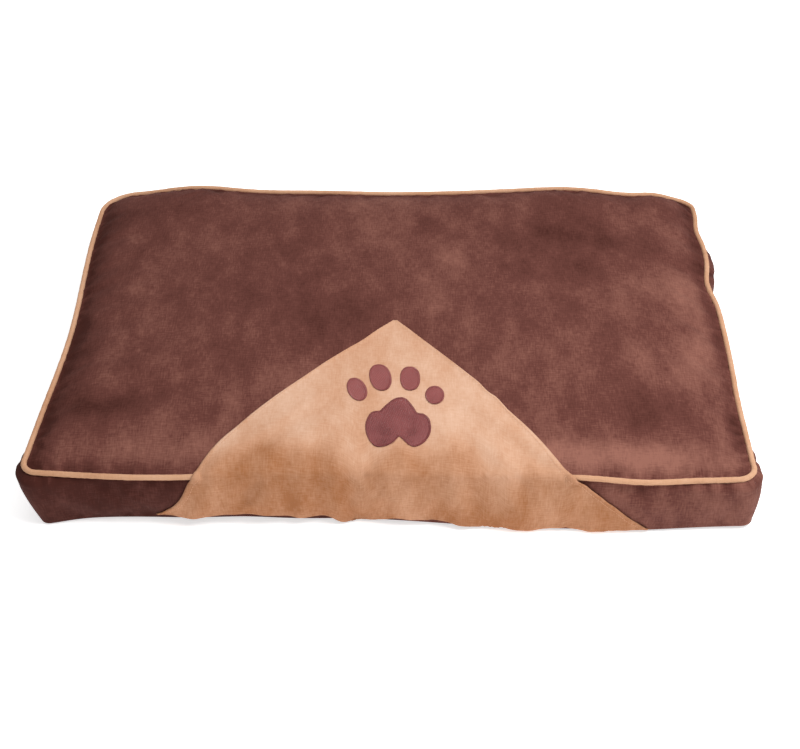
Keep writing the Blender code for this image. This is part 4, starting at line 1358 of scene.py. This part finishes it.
def zip_tape(name, node):
    """One woven tape of the zip, a little wavy where it is stitched down, with its corded inner edge."""
    low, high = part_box(node)
    inner = low.z if low.z > CHAIN_MIDDLE - 0.004 else high.z
    outer = low.z + high.z - inner
    shares = np.array(TAPE_SHARES)[:, None]
    x = np.linspace(low.x, high.x, 311)[None]
    level = inner + (outer - inner) * shares + 0.0 * x
    waves = TAPE_WAVE * np.sin(x * 410 + 3 * shares) * shares * (1 - shares) * 4
    cord, place, reach = TAPE_CORD
    corded = cord * np.exp(-(((shares - place) / reach) ** 2))
    grid = np.dstack([x + 0.0 * level, high.y - TAPE_INSET + corded + waves, level])
    uv = np.dstack([x + 0.0 * level, level])
    made = cloth_piece(name, grid, uv, ZIP_TAPE, node, thickness=TAPE, flipped=outer < inner)


def zip_parts(wall):
    """The zip's tapes and teeth, the stitches that hold them, and the finish of its metal."""
    middle_y = (CHAIN_LOW.y + CHAIN_HIGH.y) / 2
    outer = CHAIN_HIGH.z - CHAIN_MIDDLE
    length = outer - TOOTH_REACH
    for side, name in ((1, "upper"), (-1, "lower")):
        zip_tape(f"zip_cloth_{name}", f"zip_tape_{name}")
        x = np.arange(CHAIN_LOW.x + TOOTH_PITCH, CHAIN_HIGH.x - TOOTH_PITCH, TOOTH_PITCH)
        x = x + (TOOTH_PITCH / 2 if side < 0 else 0.0)
        level = CHAIN_MIDDLE + side * (TOOTH_REACH + length / 2)
        place = np.column_stack([x, np.full(len(x), middle_y), np.full(len(x), level)])
        beads(
            f"zip_teeth_{name}", place, (0.0, 0.0, 1.0), (0.0, 1.0, 0.0),
            (length, TOOTH_WIDTH, CHAIN_HIGH.y - CHAIN_LOW.y), ZIP_NYLON, f"zip_coil_{name}", sides=8,
            unevenness=0.0,
        )
        x = np.arange(CHAIN_LOW.x, CHAIN_HIGH.x, CHAIN_STITCH_PITCH)
        level = CHAIN_MIDDLE + side * (outer + CHAIN_STITCH_GAP)
        depth = CHAIN_LOW.y - CHAIN_STITCH_SINK
        place = np.column_stack([x, np.full(len(x), depth), np.full(len(x), level)])
        beads(
            f"zip_chain_stitches_{name}", place, (1.0, 0.0, 0.0), (0.0, 1.0, 0.0),
            CHAIN_STITCH, BROWN_THREAD, seed=8,
        )
        row = ZIP_ROW * WALL_FINE - 1 if side > 0 else (ZIP_ROW + 1) * WALL_FINE + 1
        line = wall[row][(wall[row][:, 1] > 0) & (np.abs(wall[row][:, 0]) < ZIP_HALF)]
        place, along = spaced(line, STITCH_PITCH)
        beads(
            f"zip_window_stitches_{name}", place + (0.0, STITCH_LIFT, 0.0), along, (0.0, 1.0, 0.0), STITCH,
            BROWN_THREAD, seed=9,
        )
    for node in ("zip_stop_closed", "zip_stop_open", "zip_slider", "zip_pull"):
        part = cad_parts[node]
        part.data.materials.clear()
        part.data.materials.append(ZIP_METAL)
        rounding = part.modifiers.new("rounded edges", "BEVEL")
        rounding.width = METAL_ROUNDING
        rounding.segments = 3
        rounding.limit_method = "ANGLE"


# --- Studio ---

FLOOR_REACH = 8.0
FLOOR_LEVEL = -0.0004
LAMPS = {  # place, size and power
    "sky": ((0.9, -0.5, 1.9), 1.0, 40.0),
    "overhead": ((-0.3, 0.3, 2.2), 1.8, 12.0),
}
AIR_LIGHT = 0.34
FLOOR_LIGHT = 0.6
CAMERA_PLACE = (0.0301, -1.5184, 1.2461)
CAMERA_DOWN, CAMERA_ASIDE, CAMERA_LEVEL = 0.69033, -0.01429, -0.00474  # radians
CAMERA_LENS = 70.64  # millimetres, on a sensor 36 mm wide


def studio():
    """A pale floor, soft light from all round with a brighter sky on the right, and the camera."""
    world = bpy.data.worlds.new("soft studio")
    world.use_nodes = True
    background = world.node_tree.nodes["Background"]
    background.inputs["Color"].default_value = (1.0, 1.0, 1.0, 1.0)
    background.inputs["Strength"].default_value = AIR_LIGHT
    bpy.context.scene.world = world
    bpy.context.scene.view_settings.view_transform = "Standard"
    bpy.context.scene.view_settings.look = "None"

    mesh = bpy.data.meshes.new("floor")
    sides = ((-1, -1), (1, -1), (1, 1), (-1, 1))
    mesh.from_pydata([(x * FLOOR_REACH, y * FLOOR_REACH, FLOOR_LEVEL) for x, y in sides], [], [(0, 1, 2, 3)])
    paper = bpy.data.materials.new("white paper")
    paper.use_nodes = True
    shader = paper.node_tree.nodes["Principled BSDF"]
    shader.inputs["Base Color"].default_value = (0.95, 0.95, 0.95, 1.0)
    shader.inputs["Roughness"].default_value = 1.0
    shader.inputs["Specular IOR Level"].default_value = 0.0
    shader.inputs["Emission Color"].default_value = (1.0, 1.0, 1.0, 1.0)
    shader.inputs["Emission Strength"].default_value = FLOOR_LIGHT
    mesh.materials.append(paper)
    floor = linked("floor", mesh)

    for name, (place, size, power) in LAMPS.items():
        data = bpy.data.lights.new(name, "AREA")
        data.size = size
        data.energy = power
        lamp = linked(name, data)
        lamp.location = place
        lamp.rotation_euler = (-Vector(place)).to_track_quat("-Z", "Y").to_euler()

    data = bpy.data.cameras.new("camera")
    data.sensor_width = 36.0
    data.lens = CAMERA_LENS
    camera = linked("camera", data)
    camera.location = CAMERA_PLACE
    camera.rotation_mode = "XYZ"
    turned = Matrix.Rotation(-CAMERA_ASIDE, 3, "Z") @ Matrix.Rotation(math.pi / 2 - CAMERA_DOWN, 3, "X")
    camera.rotation_euler = (turned @ Matrix.Rotation(-CAMERA_LEVEL, 3, "Z")).to_euler()
    bpy.context.scene.camera = camera


def build():
    """Fills the cover, finishes its cloth and puts every piece in its place."""
    slack_top, slack_wall = slack_cover()
    top, wall = filled(slack_top, slack_wall)
    fine_top, top_depth = finished_top(top)
    fine_wall, wall_depth = finished_wall(wall)
    base = based(wall[-1], crowded(COLUMNS), crowded(ROWS))
    cover_panels(fine_top, top_depth, fine_wall, wall_depth)
    cloth_piece("cover_base", base, base[..., :2], BASE_CLOTH, "bottom_panel", flipped=True)
    tube = piping(fine_wall)
    grid, uv = overlay_grid(fine_top, fine_wall, tube)
    overlay(grid, uv)
    paw(grid)
    inner_pad(top, wall, base)
    zip_parts(fine_wall)
    studio()


build()
